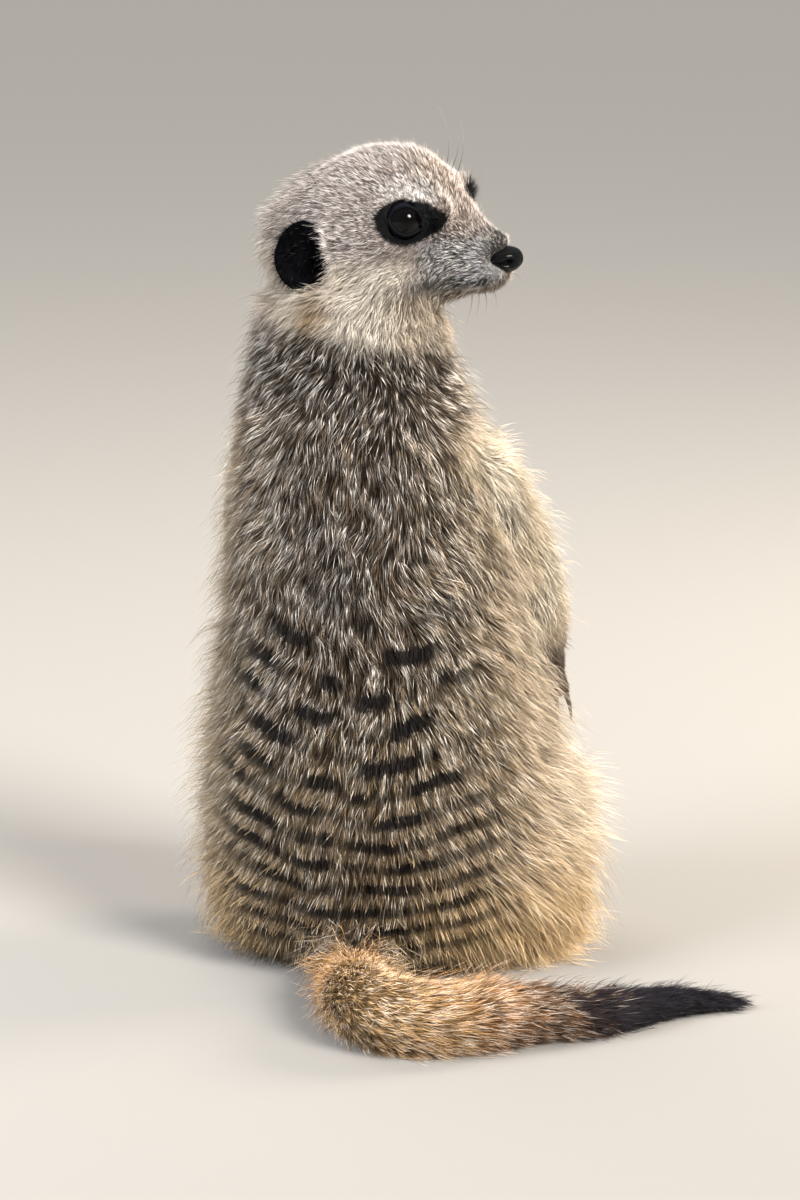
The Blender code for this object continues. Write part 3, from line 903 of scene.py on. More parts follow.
# %% Ground colours of tail and limbs, and all together
def tail_colour(points):
    """Rufous, straw gold, brown and a blue-black tip, with an uneven change from one to the next."""
    mixed = along_line(points, LINES["tail"])[0] + 0.14 * (wander(points, 2.5 * MM, 7) - 0.5)
    tail = blend(RUFOUS, STRAW, smooth_step(mixed, 0.26, 0.40))
    tail = blend(tail, TAIL_BROWN, 0.8 * smooth_step(mixed, 0.46, 0.66))
    return blend(tail, TAIL_BLACK, smooth_step(mixed, 0.57, 0.79))


def ground_colour(points, shares):
    """The colour of the coat's outer part at each point, from each point's shares of the zones."""
    patchy = wander(points, 14 * MM, 5)
    cream = blend(ARM_CREAM, GOLD, 0.25 * smooth_step(patchy, 0.3, 0.8))
    to_fingers = np.maximum(*(along_line(points, LINES[f"arm_{word}"])[0] for word in BOTH_SIDES))
    painted = (
        (("trunk", "thigh"), trunk_colour(points, patchy)),
        (("neck",), neck_colour(points, patchy)),
        (("head",), head_colour(points)),
        (TAIL_ZONES, tail_colour(points)),
        # arms and forepaws take painted shade towards the fingers
        (("upper_arm", "forearm"), blend(cream, PAW_PAINTED_SHADE, smooth_step(to_fingers, 0.66, 0.92))),
        (("forepaw",), blend(cream, PAW_PAINTED_SHADE, smooth_step(to_fingers, 0.70, 0.90))),
        (("hind_foot",), FOOT),
    )
    colour = sum(share_of(*words, shares=shares)[:, None] * paint for words, paint in painted)
    return np.clip(colour, 0, 1)


skin_colour = ground_colour(body, zone_share)
print("mean colour:", np.round(skin_colour.mean(axis=0), 2))


# %% Store the markings on the skin
def store(mesh, name, values, kind="FLOAT"):
    """Writes a named attribute to a mesh's vertices."""
    layer = mesh.attributes.new(name, kind, "POINT")
    if kind == "FLOAT_COLOR":
        full = np.ones((len(values), 4))
        full[:, :3] = values
        layer.data.foreach_set("color", full.ravel())
    else:
        layer.data.foreach_set("value", np.asarray(values, dtype=float))


mouth_line = hump(face_places(body)[2], mouth_height, 0.5) * smooth_step(mouth_run, -0.02, 0.08) * head_share
store(skin_mesh, "coat_colour", skin_colour, "FLOAT_COLOR")
store(skin_mesh, "row_at", skin_row_at)
store(skin_mesh, "row_strength", skin_row_strength)
store(skin_mesh, "mouth_line", np.clip(mouth_line, 0, 1))
print("attributes:", [a.name for a in skin_mesh.attributes if a.domain == "POINT"])

# %% [markdown]
# ## Hair and skin finishes
# A hair is dark at its root, coloured along its middle and, on the back, pale near the tip, with here and there
# a black-tipped guard hair. A shared node group makes that out of the stored colour, the place along
# the hair and a random number for each hair. The skin uses the same group at its root end, so that
# gaps between hairs look like shadowed underfur.

# %% Helpers for shader nodes
def new_group(name, inputs, outputs):
    """A shader node group with named inputs (name, kind, value) and outputs (name, kind)."""
    group = bpy.data.node_groups.new(name, "ShaderNodeTree")
    for label, kind, value in inputs:
        socket = group.interface.new_socket(label, in_out="INPUT", socket_type=kind)
        socket.default_value = value
    for label, kind in outputs:
        group.interface.new_socket(label, in_out="OUTPUT", socket_type=kind)
    return group, group.nodes.new("NodeGroupInput"), group.nodes.new("NodeGroupOutput")


def math_node(tree, operation, first, second=None, clamp=False):
    """A Math node whose inputs are sockets or numbers. Returns its output."""
    node = tree.nodes.new("ShaderNodeMath")
    node.operation = operation
    node.use_clamp = clamp
    for slot, value in enumerate((first, second)):
        if value is None:
            continue
        if isinstance(value, (int, float)):
            node.inputs[slot].default_value = value
        else:
            tree.links.new(value, node.inputs[slot])
    return node.outputs[0]


def mix_colours(tree, share, first, second, mode="MIX"):
    """A Mix node for colours. Returns its output."""
    node = tree.nodes.new("ShaderNodeMix")
    node.data_type = "RGBA"
    node.blend_type = mode
    for slot, value in ((0, share), (6, first), (7, second)):
        if isinstance(value, (int, float, tuple)):
            node.inputs[slot].default_value = value
        else:
            tree.links.new(value, node.inputs[slot])
    return node.outputs[2]


def ramp(tree, value, stops):
    """A colour ramp through (place, colour) stops. Returns its output."""
    node = tree.nodes.new("ShaderNodeValToRGB")
    node.color_ramp.elements[0].position, node.color_ramp.elements[0].color = stops[0]
    node.color_ramp.elements[1].position, node.color_ramp.elements[1].color = stops[-1]
    for place, colour in stops[1:-1]:
        node.color_ramp.elements.new(place).color = colour
    tree.links.new(value, node.inputs["Fac"])
    return node.outputs["Color"]


def grey(value):
    """A colour of three equal parts, for a ramp."""
    return (value, value, value, 1)


def remap(tree, value, start, end, smooth=True):
    """0 at start and 1 at end, as a Map Range node. Returns its output."""
    node = tree.nodes.new("ShaderNodeMapRange")
    node.interpolation_type = "SMOOTHSTEP" if smooth else "LINEAR"
    node.inputs["From Min"].default_value = start
    node.inputs["From Max"].default_value = end
    tree.links.new(value, node.inputs["Value"])
    return node.outputs["Result"]


def times(tree, *values):
    """The product of sockets and numbers."""
    total = values[0]
    for value in values[1:]:
        total = math_node(tree, "MULTIPLY", total, value)
    return total


def attribute(tree, name, output="Fac"):
    """An Attribute node that reads a stored field. Returns one of its outputs."""
    node = tree.nodes.new("ShaderNodeAttribute")
    node.attribute_name = name
    return node.outputs[output]


print("node helpers ready")

# %% The shared group for hair colour
PALE_TIP = (0.92, 0.87, 0.80, 1)
DARK_HAIR = (0.020, 0.015, 0.012, 1)
ROW_INK = (0.008, 0.007, 0.008, 1)
WHITEST = (0.93, 0.90, 0.86, 1)  # no hair gives back more light than this
DARK_FROM = 0.66  # hairs whose random number is above this have a black tip
PALE_UNDER = 0.38  # and those whose number is below this have a silver one
DEEP_STOPS = [(0.0, grey(0.05)), (0.42, grey(0.12)), (0.72, grey(1.0)), (1.0, grey(1.75))]  # grizzled coat
LIGHT_STOPS = [(0.0, grey(0.40)), (0.3, grey(0.75)), (1.0, grey(1.12))]  # plain coat


def make_hair_group():
    """Colour of a hair from its coat, its row, the place along it and its random number."""
    inputs = (
        ("Coat", "NodeSocketColor", (0.3, 0.25, 0.2, 1)),
        ("Row at", "NodeSocketFloat", 0.5),
        ("Row strength", "NodeSocketFloat", 0.0),
        ("Along", "NodeSocketFloat", 0.5),
        ("Chance", "NodeSocketFloat", 0.5),
        ("Grizzle", "NodeSocketFloat", 1.0),
    )
    group, given, result = new_group("Hair colour", inputs, (("Color", "NodeSocketColor"),))
    coat, row_at, row_strength, along, chance, grizzle = (given.outputs[k] for k in range(6))
    other_chance = math_node(group, "FRACT", times(group, chance, 17.3))
    shade = mix_colours(group, grizzle, ramp(group, along, LIGHT_STOPS), ramp(group, along, DEEP_STOPS))
    lit = mix_colours(group, 1.0, coat, shade, "MULTIPLY")
    spread = remap(group, other_chance, -1.1, 1.0, smooth=False)
    varied = mix_colours(group, 1.0, lit, spread, "MULTIPLY")
    outer = remap(group, along, 0.35, 0.7)
    is_dark = math_node(group, "GREATER_THAN", chance, DARK_FROM)
    darkened = mix_colours(group, times(group, is_dark, outer, grizzle, 0.85), varied, DARK_HAIR)
    is_pale = math_node(group, "LESS_THAN", chance, PALE_UNDER)
    silvered = mix_colours(group, times(group, is_pale, outer, grizzle, 0.8), darkened, PALE_TIP)
    jitter = math_node(group, "MULTIPLY_ADD", other_chance, 0.18)
    jitter.node.inputs[2].default_value = -0.09
    turn = times(group, math_node(group, "ADD", row_at, jitter), 2 * math.pi)
    band = remap(group, math_node(group, "COSINE", turn), -0.15, 0.25)
    pale_over = math_node(group, "SUBTRACT", 1.0, times(group, is_pale, remap(group, along, 0.75, 1.0), 0.3))
    rowed = mix_colours(group, times(group, band, row_strength, pale_over, 0.96), silvered, ROW_INK)
    capped = mix_colours(group, 1.0, rowed, WHITEST, "DARKEN")
    group.links.new(capped, result.inputs["Color"])
    return group


hair_group = make_hair_group()
print("hair group nodes:", len(hair_group.nodes))


# %% Finishes of the fur
def feed_hair_group(tree, labels):
    """The shared group in a material, fed by the attributes that the mesh stores."""
    node = tree.nodes.new("ShaderNodeGroup")
    node.node_tree = hair_group
    for label in labels:
        output = "Color" if label == "Coat" else "Fac"
        name = "coat_colour" if label == "Coat" else label.lower().replace(" ", "_")
        tree.links.new(attribute(tree, name, output), node.inputs[label])
    return node


fur, fur_tree, fur_shader = plain_material("fur", (0.3, 0.25, 0.2), 0.5, 0.22)
hair = feed_hair_group(fur_tree, ("Coat", "Row at", "Row strength", "Along", "Chance", "Grizzle"))
fur_tree.links.new(hair.outputs["Color"], fur_shader.inputs["Base Color"])
black_fur, black_tree, black_shader = plain_material("black_fur", (0.01, 0.01, 0.01), 0.7, 0.015)
black_hair = feed_hair_group(black_tree, ("Coat", "Along", "Chance", "Grizzle"))
black_tree.links.new(black_hair.outputs["Color"], black_shader.inputs["Base Color"])
print("finishes:", fur.name, black_fur.name)

# %% Skin finish
MOUTH_SHADOW = (0.012, 0.010, 0.010, 1)
skin_material, skin_tree, skin_shader = plain_material("under_fur", (0.1, 0.08, 0.06), 0.8, 0.2)
under = feed_hair_group(skin_tree, ("Coat", "Row at", "Row strength"))
under.inputs["Along"].default_value = 0.12
under.inputs["Grizzle"].default_value = 0.7
fleck = add_noise(skin_tree, 900, 3)
skin_tree.links.new(fleck, under.inputs["Chance"])
with_mouth = mix_colours(skin_tree, attribute(skin_tree, "mouth_line"), under.outputs["Color"], MOUTH_SHADOW)
skin_tree.links.new(with_mouth, skin_shader.inputs["Base Color"])
add_bump(skin_tree, skin_shader, fleck, 0.5, 0.0006)
skin_mesh.materials.clear()
skin_mesh.materials.append(skin_material)
skin.name = "skin"
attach(skin, "root")
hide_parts(*FLESH)
print("skin rides on the root and replaces", len(FLESH), "solids")

# %% [markdown]
# ## Eyes
# Seen from outside the eye is nearly black: a dark brown iris round a black pupil, under a clear wet bulge.
# The ball is a sphere whose front swells a little. A narrow rim of bare dark skin follows the opening of the
# lids and lies flush with them.

# %% Helpers for built pieces
def grid_faces(rows_count, columns):
    """Quads between neighbouring rings of a grid of vertices. Each ring closes on itself."""
    faces = []
    for i in range(rows_count - 1):
        for k in range(columns):
            m = (k + 1) % columns
            faces.append((i * columns + k, i * columns + m, (i + 1) * columns + m, (i + 1) * columns + k))
    return faces


def mesh_piece(name, points, faces, material):
    """A smooth-shaded object from points and faces."""
    data = bpy.data.meshes.new(name)
    data.from_pydata([tuple(p) for p in points], [], faces)
    data.validate()
    work = bmesh.new()
    work.from_mesh(data)
    bmesh.ops.remove_doubles(work, verts=work.verts, dist=1e-7)
    bmesh.ops.recalc_face_normals(work, faces=work.faces)
    work.to_mesh(data)
    work.free()
    data.shade_smooth()
    data.materials.append(material)
    made = link_new(name, data)
    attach(made, "root")
    return made


print("piece helpers ready")

# %% Finish of the eye
IRIS_STOPS = (  # share of the quarter circle from the pupil's middle, and the colour there
    (0.0, (0.0005, 0.0005, 0.0005, 1)),
    (0.24, (0.001, 0.0008, 0.0008, 1)),
    (0.28, (0.0016, 0.0009, 0.0007, 1)),
    (0.46, (0.0012, 0.0008, 0.0007, 1)),
    (0.52, (0.001, 0.001, 0.001, 1)),
    (0.6, (0.004, 0.004, 0.006, 1)),
    (1.0, (0.006, 0.006, 0.008, 1)),
)
eye_material, eye_tree, eye_shader = plain_material("wet_eye", (0.0015, 0.001, 0.001), 0.05, 0.08)
eye_shader.inputs["Coat Weight"].default_value = 0.2
eye_shader.inputs["Coat Roughness"].default_value = 0.02
iris = ramp(eye_tree, attribute(eye_tree, "polar"), IRIS_STOPS)
streaked = mix_colours(eye_tree, 0.35, iris, add_noise(eye_tree, 1400), "MULTIPLY")
eye_tree.links.new(streaked, eye_shader.inputs["Base Color"])
print("iris stops:", len(IRIS_STOPS))

# %% Eyeballs
EYE_RINGS = 40
EYE_SEGMENTS = 56
CORNEA_RISE = 0.45
CORNEA_EDGE = math.radians(40)
for word in BOTH_SIDES:
    across, up, out = eye_axes(word)
    points = []
    for i in range(EYE_RINGS + 1):
        polar = math.pi * i / EYE_RINGS
        swell = CORNEA_RISE * float(smooth_step(polar, CORNEA_EDGE, 0.2 * CORNEA_EDGE))
        radius = (EYE_RADIUS + swell) * MM
        for k in range(EYE_SEGMENTS):
            turn = 2 * math.pi * k / EYE_SEGMENTS
            ray = across * math.cos(turn) * math.sin(polar) + up * math.sin(turn) * math.sin(polar)
            points.append(eye_middles[word] + (ray + out * math.cos(polar)) * radius)
    ball = mesh_piece(f"eyeball_{word}", points, grid_faces(EYE_RINGS + 1, EYE_SEGMENTS), eye_material)
    ball_points = (read_vertices(ball.data) - eye_middles[word]) / MM
    polar_share = np.arccos(np.clip(unit(ball_points) @ out, -1, 1)) / (math.pi / 2)
    store(ball.data, "polar", polar_share)
    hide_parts(f"eye_{word}")
print("eyeballs:", EYE_RADIUS, "mm radius")

# %% Lid rims
RIM_STEPS = 64
RIM_SIDES = 12
RIM_SHIFT = 0.36  # the rim's middle line lies this far outside the opening, mm
RIM_RADIUS = 0.52
INNER_CORNER = 0.9  # the rim is drawn out this far towards the nose
rim_material, rim_tree, rim_shader = plain_material("lid_rim", (0.0022, 0.0024, 0.0036), 0.55, 0.06)
add_bump(rim_tree, rim_shader, add_noise(rim_tree, 1500), 0.35, 0.0002)


def tube(centres, radii, sides):
    """Points of rings round a closed line of centres, with the given radii in metres."""
    centres = np.array(centres)
    ways = unit(np.roll(centres, -1, axis=0) - np.roll(centres, 1, axis=0))
    inner = unit(centres - centres.mean(axis=0))
    points = []
    for centre, way, toward, radius in zip(centres, ways, inner, radii):
        first = unit(toward - way * (toward @ way))
        second = np.cross(way, first)
        for k in range(sides):
            turn = 2 * math.pi * k / sides
            points.append(centre + (first * math.cos(turn) + second * math.sin(turn)) * radius)
    return points


for word in BOTH_SIDES:
    across, up, out = eye_axes(word)
    centres, radii = [], []
    for i in range(RIM_STEPS):
        turn = 2 * math.pi * i / RIM_STEPS
        x = (EYE_OPENING[0] + RIM_SHIFT) * math.cos(turn)
        y = (EYE_OPENING[1] + RIM_SHIFT) * math.sin(turn) * (1 - 0.18 * math.cos(turn) ** 2)
        x += INNER_CORNER * max(0.0, math.cos(turn)) ** 6
        ray = unit(across * x + up * y + out * math.sqrt(max(EYE_RADIUS**2 - x * x - y * y, 1.0)))
        centres.append(eye_middles[word] + ray * (EYE_RADIUS + 0.05) * MM)
        radii.append((RIM_RADIUS + 0.05 * math.sin(turn)) * MM)
    faces = grid_faces(RIM_STEPS, RIM_SIDES)
    for k in range(RIM_SIDES):
        m = (k + 1) % RIM_SIDES
        last = (RIM_STEPS - 1) * RIM_SIDES
        faces.append((last + k, last + m, m, k))
    rim = mesh_piece(f"lid_rim_{word}", tube(centres, radii, RIM_SIDES), faces, rim_material)
print("lid rims follow an opening of", EYE_OPENING, "mm half sizes")

# %% [markdown]
# ## Nose
# The nose pad is bare, damp and pebbled. Each nostril is a comma that opens to the side, and a groove runs down
# the middle to the lip. It starts as a ball a little larger than the solid nose, and the dents are pushed in.

# %% Finish of the nose
PAD_DARK = (0.002, 0.002, 0.0024, 1)
# the nostrils are painted darker than the pad: painted shade inside the holes
NOSTRIL_PAINTED_SHADE = (0.0005, 0.0005, 0.0005, 1)
nose_parts = plain_material("nose_leather_skin", (0.0012, 0.0012, 0.0015), 0.4, 0.05)
nose_material, nose_tree, nose_shader = nose_parts
nose_shader.inputs["Coat Weight"].default_value = 0.16
nose_shader.inputs["Coat Roughness"].default_value = 0.14
pebbles = nose_tree.nodes.new("ShaderNodeTexVoronoi")
pebbles.inputs["Scale"].default_value = 2200
add_bump(nose_tree, nose_shader, pebbles.outputs["Distance"], 0.55, 0.00018)
# painted shade in the nostrils
with_nostrils = mix_colours(nose_tree, attribute(nose_tree, "nostril"), PAD_DARK, NOSTRIL_PAINTED_SHADE)
nose_tree.links.new(with_nostrils, nose_shader.inputs["Base Color"])
print("nose finish:", nose_material.name)

# %% Nose pad
NOSE_ROWS = 64
NOSE_COLUMNS = 96
NOSTRIL = unit(np.array([0.60, 0.76, -0.02]))


def step(value, start, end):
    """smooth_step of one number."""
    return float(smooth_step(value, start, end))


def nose_shrink(ray):
    """How far towards its middle the pad is pushed in along a ray, as three factors."""
    even = ray * (1, np.sign(ray[1]) or 1, 1)
    away = even - NOSTRIL
    hole = math.exp(-((away[0] / 0.30) ** 2 + (away[1] / 0.26) ** 2 + (away[2] / 0.24) ** 2))
    slit = math.exp(-(((even[2] + 0.12) / 0.13) ** 2)) * step(even[1], 0.62, 0.85)
    comma = min(1.0, hole + 0.8 * slit * step(even[0], -0.3, 0.2))
    groove = math.exp(-((ray[1] / 0.10) ** 2)) * step(ray[2], 0.35, -0.2) * step(ray[0], 0, 0.4)
    flat_top = step(ray[2], 0.5, 1.0) * 0.14
    narrow_foot = 1 - 0.38 * step(ray[2], -0.1, -0.9)
    size = 1 - 0.42 * comma - 0.14 * groove - flat_top
    return np.array([size, size * narrow_foot, size])


points = []
for i in range(NOSE_ROWS + 1):
    polar = math.pi * i / NOSE_ROWS
    for k in range(NOSE_COLUMNS):
        turn = 2 * math.pi * k / NOSE_COLUMNS
        ray = np.array([math.cos(polar), math.sin(polar) * math.cos(turn), math.sin(polar) * math.sin(turn)])
        points.append(from_head(NOSE_PAD_MIDDLE + ray * NOSE_HALF * nose_shrink(ray)))
nose = mesh_piece("nose_pad", points, grid_faces(NOSE_ROWS + 1, NOSE_COLUMNS), nose_material)
nose_places = unit((in_head(read_vertices(nose.data)) - NOSE_PAD_MIDDLE) / NOSE_HALF)
nose_places[:, 1] = np.abs(nose_places[:, 1])
nose_away = (nose_places - NOSTRIL) / (0.24, 0.22, 0.20)
store(nose.data, "nostril", np.exp(-(nose_away**2).sum(axis=1)))
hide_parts("nose")
print("nose pad points:", len(nose.data.vertices))

# %% [markdown]
# ## Ears
# A meerkat's ear is a low black crescent, close to the head, that can fold shut against dust. Its rim rolls
# outward, and the hollow in front holds two folds. It is a disc of rings that are lifted and lowered.

# %% Ear shells
EAR_RINGS = 26
EAR_STEPS = 72
EAR_HALF = (9.3, 11.0)
EAR_BASE = -0.8  # how far the hollow lies outside the ear's middle
EAR_RIM = 1.8
EAR_SETTLED = 0.9  # how far the shell is pressed towards the head
EAR_ROLL_FROM = 0.8  # the rings beyond this share of the disc roll back towards the head


def rim_of(to_back):
    """The rim stands up at the back of the ear and is low in front."""
    return 0.25 + 0.75 * step(to_back, -0.7, 0.6)


def ear_section(share, to_back, to_top):
    """How far out in the ear's plane a ring lies, as a share, and its height in millimetres."""
    if share >= EAR_ROLL_FROM:
        roll = (share - EAR_ROLL_FROM) / (1 - EAR_ROLL_FROM)
        spread = 1 + 0.06 * math.sin(math.pi * roll) - 0.16 * roll
        return spread, (EAR_RIM * rim_of(to_back) + EAR_BASE) * math.cos(0.5 * math.pi * roll) - 3.6 * roll
    reach = share / EAR_ROLL_FROM
    back, top = reach * to_back, reach * to_top
    rim = EAR_RIM * step(reach, 0.55, 1.0) * rim_of(to_back)
    bowl = -1.8 * math.exp(-(((back + 0.15) / 0.5) ** 2 + ((top + 0.1) / 0.5) ** 2))
    fold = 0.9 * math.exp(-(((back + 0.05 + 0.35 * top) / 0.12) ** 2)) * (1 - reach)
    return reach, rim + bowl + fold + EAR_BASE


print("ear rim:", EAR_RIM, "mm")

# %% Finish of the ears
ear_material, ear_tree, ear_shader = plain_material("ear_skin", (0.002, 0.002, 0.003), 0.7, 0.03)
ear_grain = add_noise(ear_tree, 700, 4)
add_bump(ear_tree, ear_shader, ear_grain, 0.6, 0.0004)
ear_tone = ramp(ear_tree, ear_grain, [(0.3, (0.001, 0.001, 0.0014, 1)), (0.75, (0.003, 0.003, 0.004, 1))])
ear_tree.links.new(ear_tone, ear_shader.inputs["Base Color"])
print("ear finish:", ear_material.name)

# %% Shells in place
EAR_TURN = math.radians(22)
EAR_TILT = math.radians(14)  # the ear's foot lies further forward than its top
ear_axes = {}
ear_shapes = {}
for word, side in BOTH_SIDES.items():
    middle = middle_of(f"ear_{word}")
    level_back = -HEAD_AXES[0] * math.cos(EAR_TURN) + HEAD_AXES[1] * side * math.sin(EAR_TURN)
    out = HEAD_AXES[1] * side * math.cos(EAR_TURN) + HEAD_AXES[0] * math.sin(EAR_TURN)
    back = level_back * math.cos(EAR_TILT) - HEAD_AXES[2] * math.sin(EAR_TILT)
    ear_up = HEAD_AXES[2] * math.cos(EAR_TILT) + level_back * math.sin(EAR_TILT)
    middle = middle - out * EAR_SETTLED * MM
    ear_axes[word] = (middle, back, ear_up, out)
    points = []
    for i in range(EAR_RINGS + 1):
        share = i / EAR_RINGS
        for k in range(EAR_STEPS):
            turn = 2 * math.pi * k / EAR_STEPS
            to_back, to_top = math.cos(turn), math.sin(turn)
            spread, lift = ear_section(share, to_back, to_top)
            narrow = 1 - 0.10 * step(to_top, 0.2, 1) + 0.04 * to_back
            offset = back * to_back * EAR_HALF[0] * spread * narrow + ear_up * to_top * EAR_HALF[1] * spread
            points.append(middle + (offset + out * lift) * MM)
    shell = mesh_piece(f"ear_shell_{word}", points, grid_faces(EAR_RINGS + 1, EAR_STEPS), ear_material)
    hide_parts(f"ear_{word}")
    ear_shapes[word] = shell
print("ear shells:", len(ear_shapes))

# %% [markdown]
# ## Claws
# The solid claws already have the right curve and place. A copy of each is rounded by a subdivision surface and
# gets a horn finish with a fine, uneven grain.

# %% Round the claws
claw_material, claw_tree, claw_shader = plain_material("claw_horn_finish", (0.05, 0.04, 0.034), 0.38, 0.5)
horn_grain = add_noise(claw_tree, 500, 4)
claw_tone = ramp(claw_tree, horn_grain, [(0.3, (0.018, 0.014, 0.013, 1)), (0.8, (0.10, 0.08, 0.066, 1))])
claw_tree.links.new(claw_tone, claw_shader.inputs["Base Color"])
add_bump(claw_tree, claw_shader, horn_grain, 0.3, 0.0002)

CLAWS = [name for name in nodes if "claw" in name]
CLAW_GROWTH = (1.12, 1.12, 1.0)  # a little wider, because the subdivision thins them
claw_work = bmesh.new()
for name in CLAWS:
    part = bmesh.new()
    part.from_mesh(nodes[name].data)
    bmesh.ops.remove_doubles(part, verts=part.verts, dist=1e-6)
    to_middle = Matrix.Translation(-Vector(middle_of(name)))
    bmesh.ops.scale(part, vec=CLAW_GROWTH, verts=part.verts, space=to_middle)
    data = bpy.data.meshes.new("claw")
    part.to_mesh(data)
    part.free()
    claw_work.from_mesh(data)
    bpy.data.meshes.remove(data)
claw_mesh = bpy.data.meshes.new("claws")
bmesh.ops.recalc_face_normals(claw_work, faces=claw_work.faces)
claw_work.to_mesh(claw_mesh)
claw_work.free()
claw_mesh.shade_smooth()
claw_mesh.materials.append(claw_material)
claws = link_new("claws", claw_mesh)
rounding = claws.modifiers.new("round", "SUBSURF")
rounding.levels = rounding.render_levels = 2
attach(claws, "root")
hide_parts(*CLAWS)
print("claws:", len(CLAWS))

# %% [markdown]
# ## Planting the coat
# Roots are scattered over the skin's triangles by area and hair density. Each hair leaves its root at a slope
# and bends over until its tip lies its stand-off above the skin. Hairs near each other are pulled towards
# a common tip, which makes locks with dark gaps between them. A few are longer and stand further out: the
# guard hairs that break the outline. Every hair is a closed spike of three sides, so that it survives export.

# %% Where hair may grow
LOWEST_ROOT = 0.0009  # the underside below this has no hair
bare = (body[:, 2] < LOWEST_ROOT) & (skin_normals[:, 2] < -0.5)
for word in BOTH_SIDES:
    _, distance, x, y, z = from_eye(body, word)
    lid = in_oval(x, y, EYE_OPENING[0] + 0.5, EYE_OPENING[1] + 0.5)
    bare |= (lid < 1) & (z > 0) & (distance < 9)
    ear_middle, ear_back, ear_up, ear_out = ear_axes[word]
    away = (body - ear_middle) / MM
    under_ear = in_oval(away @ ear_back, away @ ear_up, EAR_HALF[0] * 0.82, EAR_HALF[1] * 0.86)
    bare |= (under_ear < 1) & (np.abs(away @ ear_out) < 8)
bare |= np.linalg.norm((in_head(body) - NOSE_PAD_MIDDLE) / (NOSE_HALF * 0.96), axis=1) < 1
density = hair_density * ~bare
density *= 1 + 0.3 * head_share * smooth_step(face_places(body)[0], 2, 22)
print("bare share of the skin's vertices:", round(float(bare.mean()), 3))


# %% Scatter roots
class Scatter:
    """Random places on a mesh's triangles, more of them where the density per square centimetre is higher."""

    def __init__(self, mesh, points, density, limit, random):
        mesh.calc_loop_triangles()
        corner = np.empty(len(mesh.loop_triangles) * 3, dtype=int)
        mesh.loop_triangles.foreach_get("vertices", corner)
        corner = corner.reshape(-1, 3)
        a, b, c = (points[corner[:, k]] for k in range(3))
        area = np.linalg.norm(np.cross(b - a, c - a), axis=1) / 2 * 1e4
        cumulative = np.cumsum(area * density[corner].mean(axis=1))
        self.wanted = int(cumulative[-1])
        self.count = min(limit, self.wanted)
        picked = np.searchsorted(cumulative, random.uniform(0, cumulative[-1], self.count))
        first, second = random.uniform(size=(2, self.count))
        over = first + second > 1
        first[over], second[over] = 1 - first[over], 1 - second[over]
        self.corners = corner[picked]
        self.weights = np.column_stack([1 - first - second, first, second])

    def read(self, values):
        """A field of the mesh's vertices, read at every place."""
        found = np.asarray(values)[self.corners]
        weights = self.weights[:, :, None] if found.ndim == 3 else self.weights
        return (found * weights).sum(axis=1)


print("skin area:", round(sum(p.area for p in skin_mesh.polygons) * 1e4), "square centimetres")

# %% Plant the roots
HAIR_LIMIT = 300_000
rng = np.random.default_rng(20)
planted = Scatter(skin_mesh, body, density, HAIR_LIMIT, rng)
hair_count = planted.count
roots = planted.read(body)
root_normals = unit(planted.read(skin_normals))
root_ways = flat_on_skin(planted.read(flow), root_normals)
root_length = planted.read(hair_length)
root_tip_height = planted.read(tip_height)
root_width = planted.read(hair_width)
root_pull = planted.read(clump_pull)
root_zones = planted.read(zone_share)
main_zone = root_zones.argmax(axis=1)
print("hairs wanted:", planted.wanted, "planted:", hair_count)
print({z: int((main_zone == i).sum()) for i, z in enumerate(zone_names)})

# %% Cover hairs, underfur and the way each hair points
COVER_SHARE = 0.5  # these hairs are wider and mostly pale; the rest is darker underfur
COVER_WIDTH, UNDERFUR_WIDTH = 1.25, 0.9
ALWAYS_COVER = 2.5  # hairs shorter than this, in millimetres, have no underfur


def turned(vectors, normals, angles):
    """Vectors turned about the normals by angles."""
    side = np.cross(normals, vectors)
    return vectors * np.cos(angles)[:, None] + side * np.sin(angles)[:, None]


is_cover = (rng.uniform(size=hair_count) < COVER_SHARE) | (root_length < ALWAYS_COVER)
root_width = root_width * np.where(is_cover, COVER_WIDTH, UNDERFUR_WIDTH)
long_coat = smooth_step(root_length, 4, 10)
upper = smooth_step(roots[:, 2], 0.070, 0.110)
waves = (0.4 + 0.5 * upper) * (wander(roots, 9 * MM, 21) - 0.5)
waves += 0.8 * upper * (wander(roots, 26 * MM, 22) - 0.5)
waves *= 1 - 0.7 * planted.read(np.maximum(flank, smooth_step(turn_from_back, 95, 120)) * trunk_share)
angles = waves * (0.25 + 0.75 * long_coat) + rng.normal(0, 0.24, hair_count)
ways = turned(root_ways, root_normals, angles)
print("cover hairs:", int(is_cover.sum()))

# %% Places with a wilder coat
STRAY_SHARE = 0.045  # of all hairs, and more of them in the places below
root_height = roots[:, 2]
root_ahead, _, root_above = face_places(roots)
root_head = share_of("head", shares=root_zones)
root_flank = planted.read(flank * trunk_share)
rear_of_head = root_head * smooth_step(root_ahead, -4, -20)
fringe = smooth_step(root_height, 0.040, 0.012) * smooth_step(np.hypot(roots[:, 0], roots[:, 1]), 0.03, 0.045)
chest = smooth_step(root_height, 0.105, 0.125) * smooth_step(-roots[:, 0], 0.008, 0.02)
chest *= smooth_step(root_height, 0.2, 0.185)
stray_chance = STRAY_SHARE * (1 + 3.0 * root_flank + 2.0 * rear_of_head + 2.0 * fringe + 2.5 * chest)
print("chance of a stray: up to", round(float(stray_chance.max()), 2))

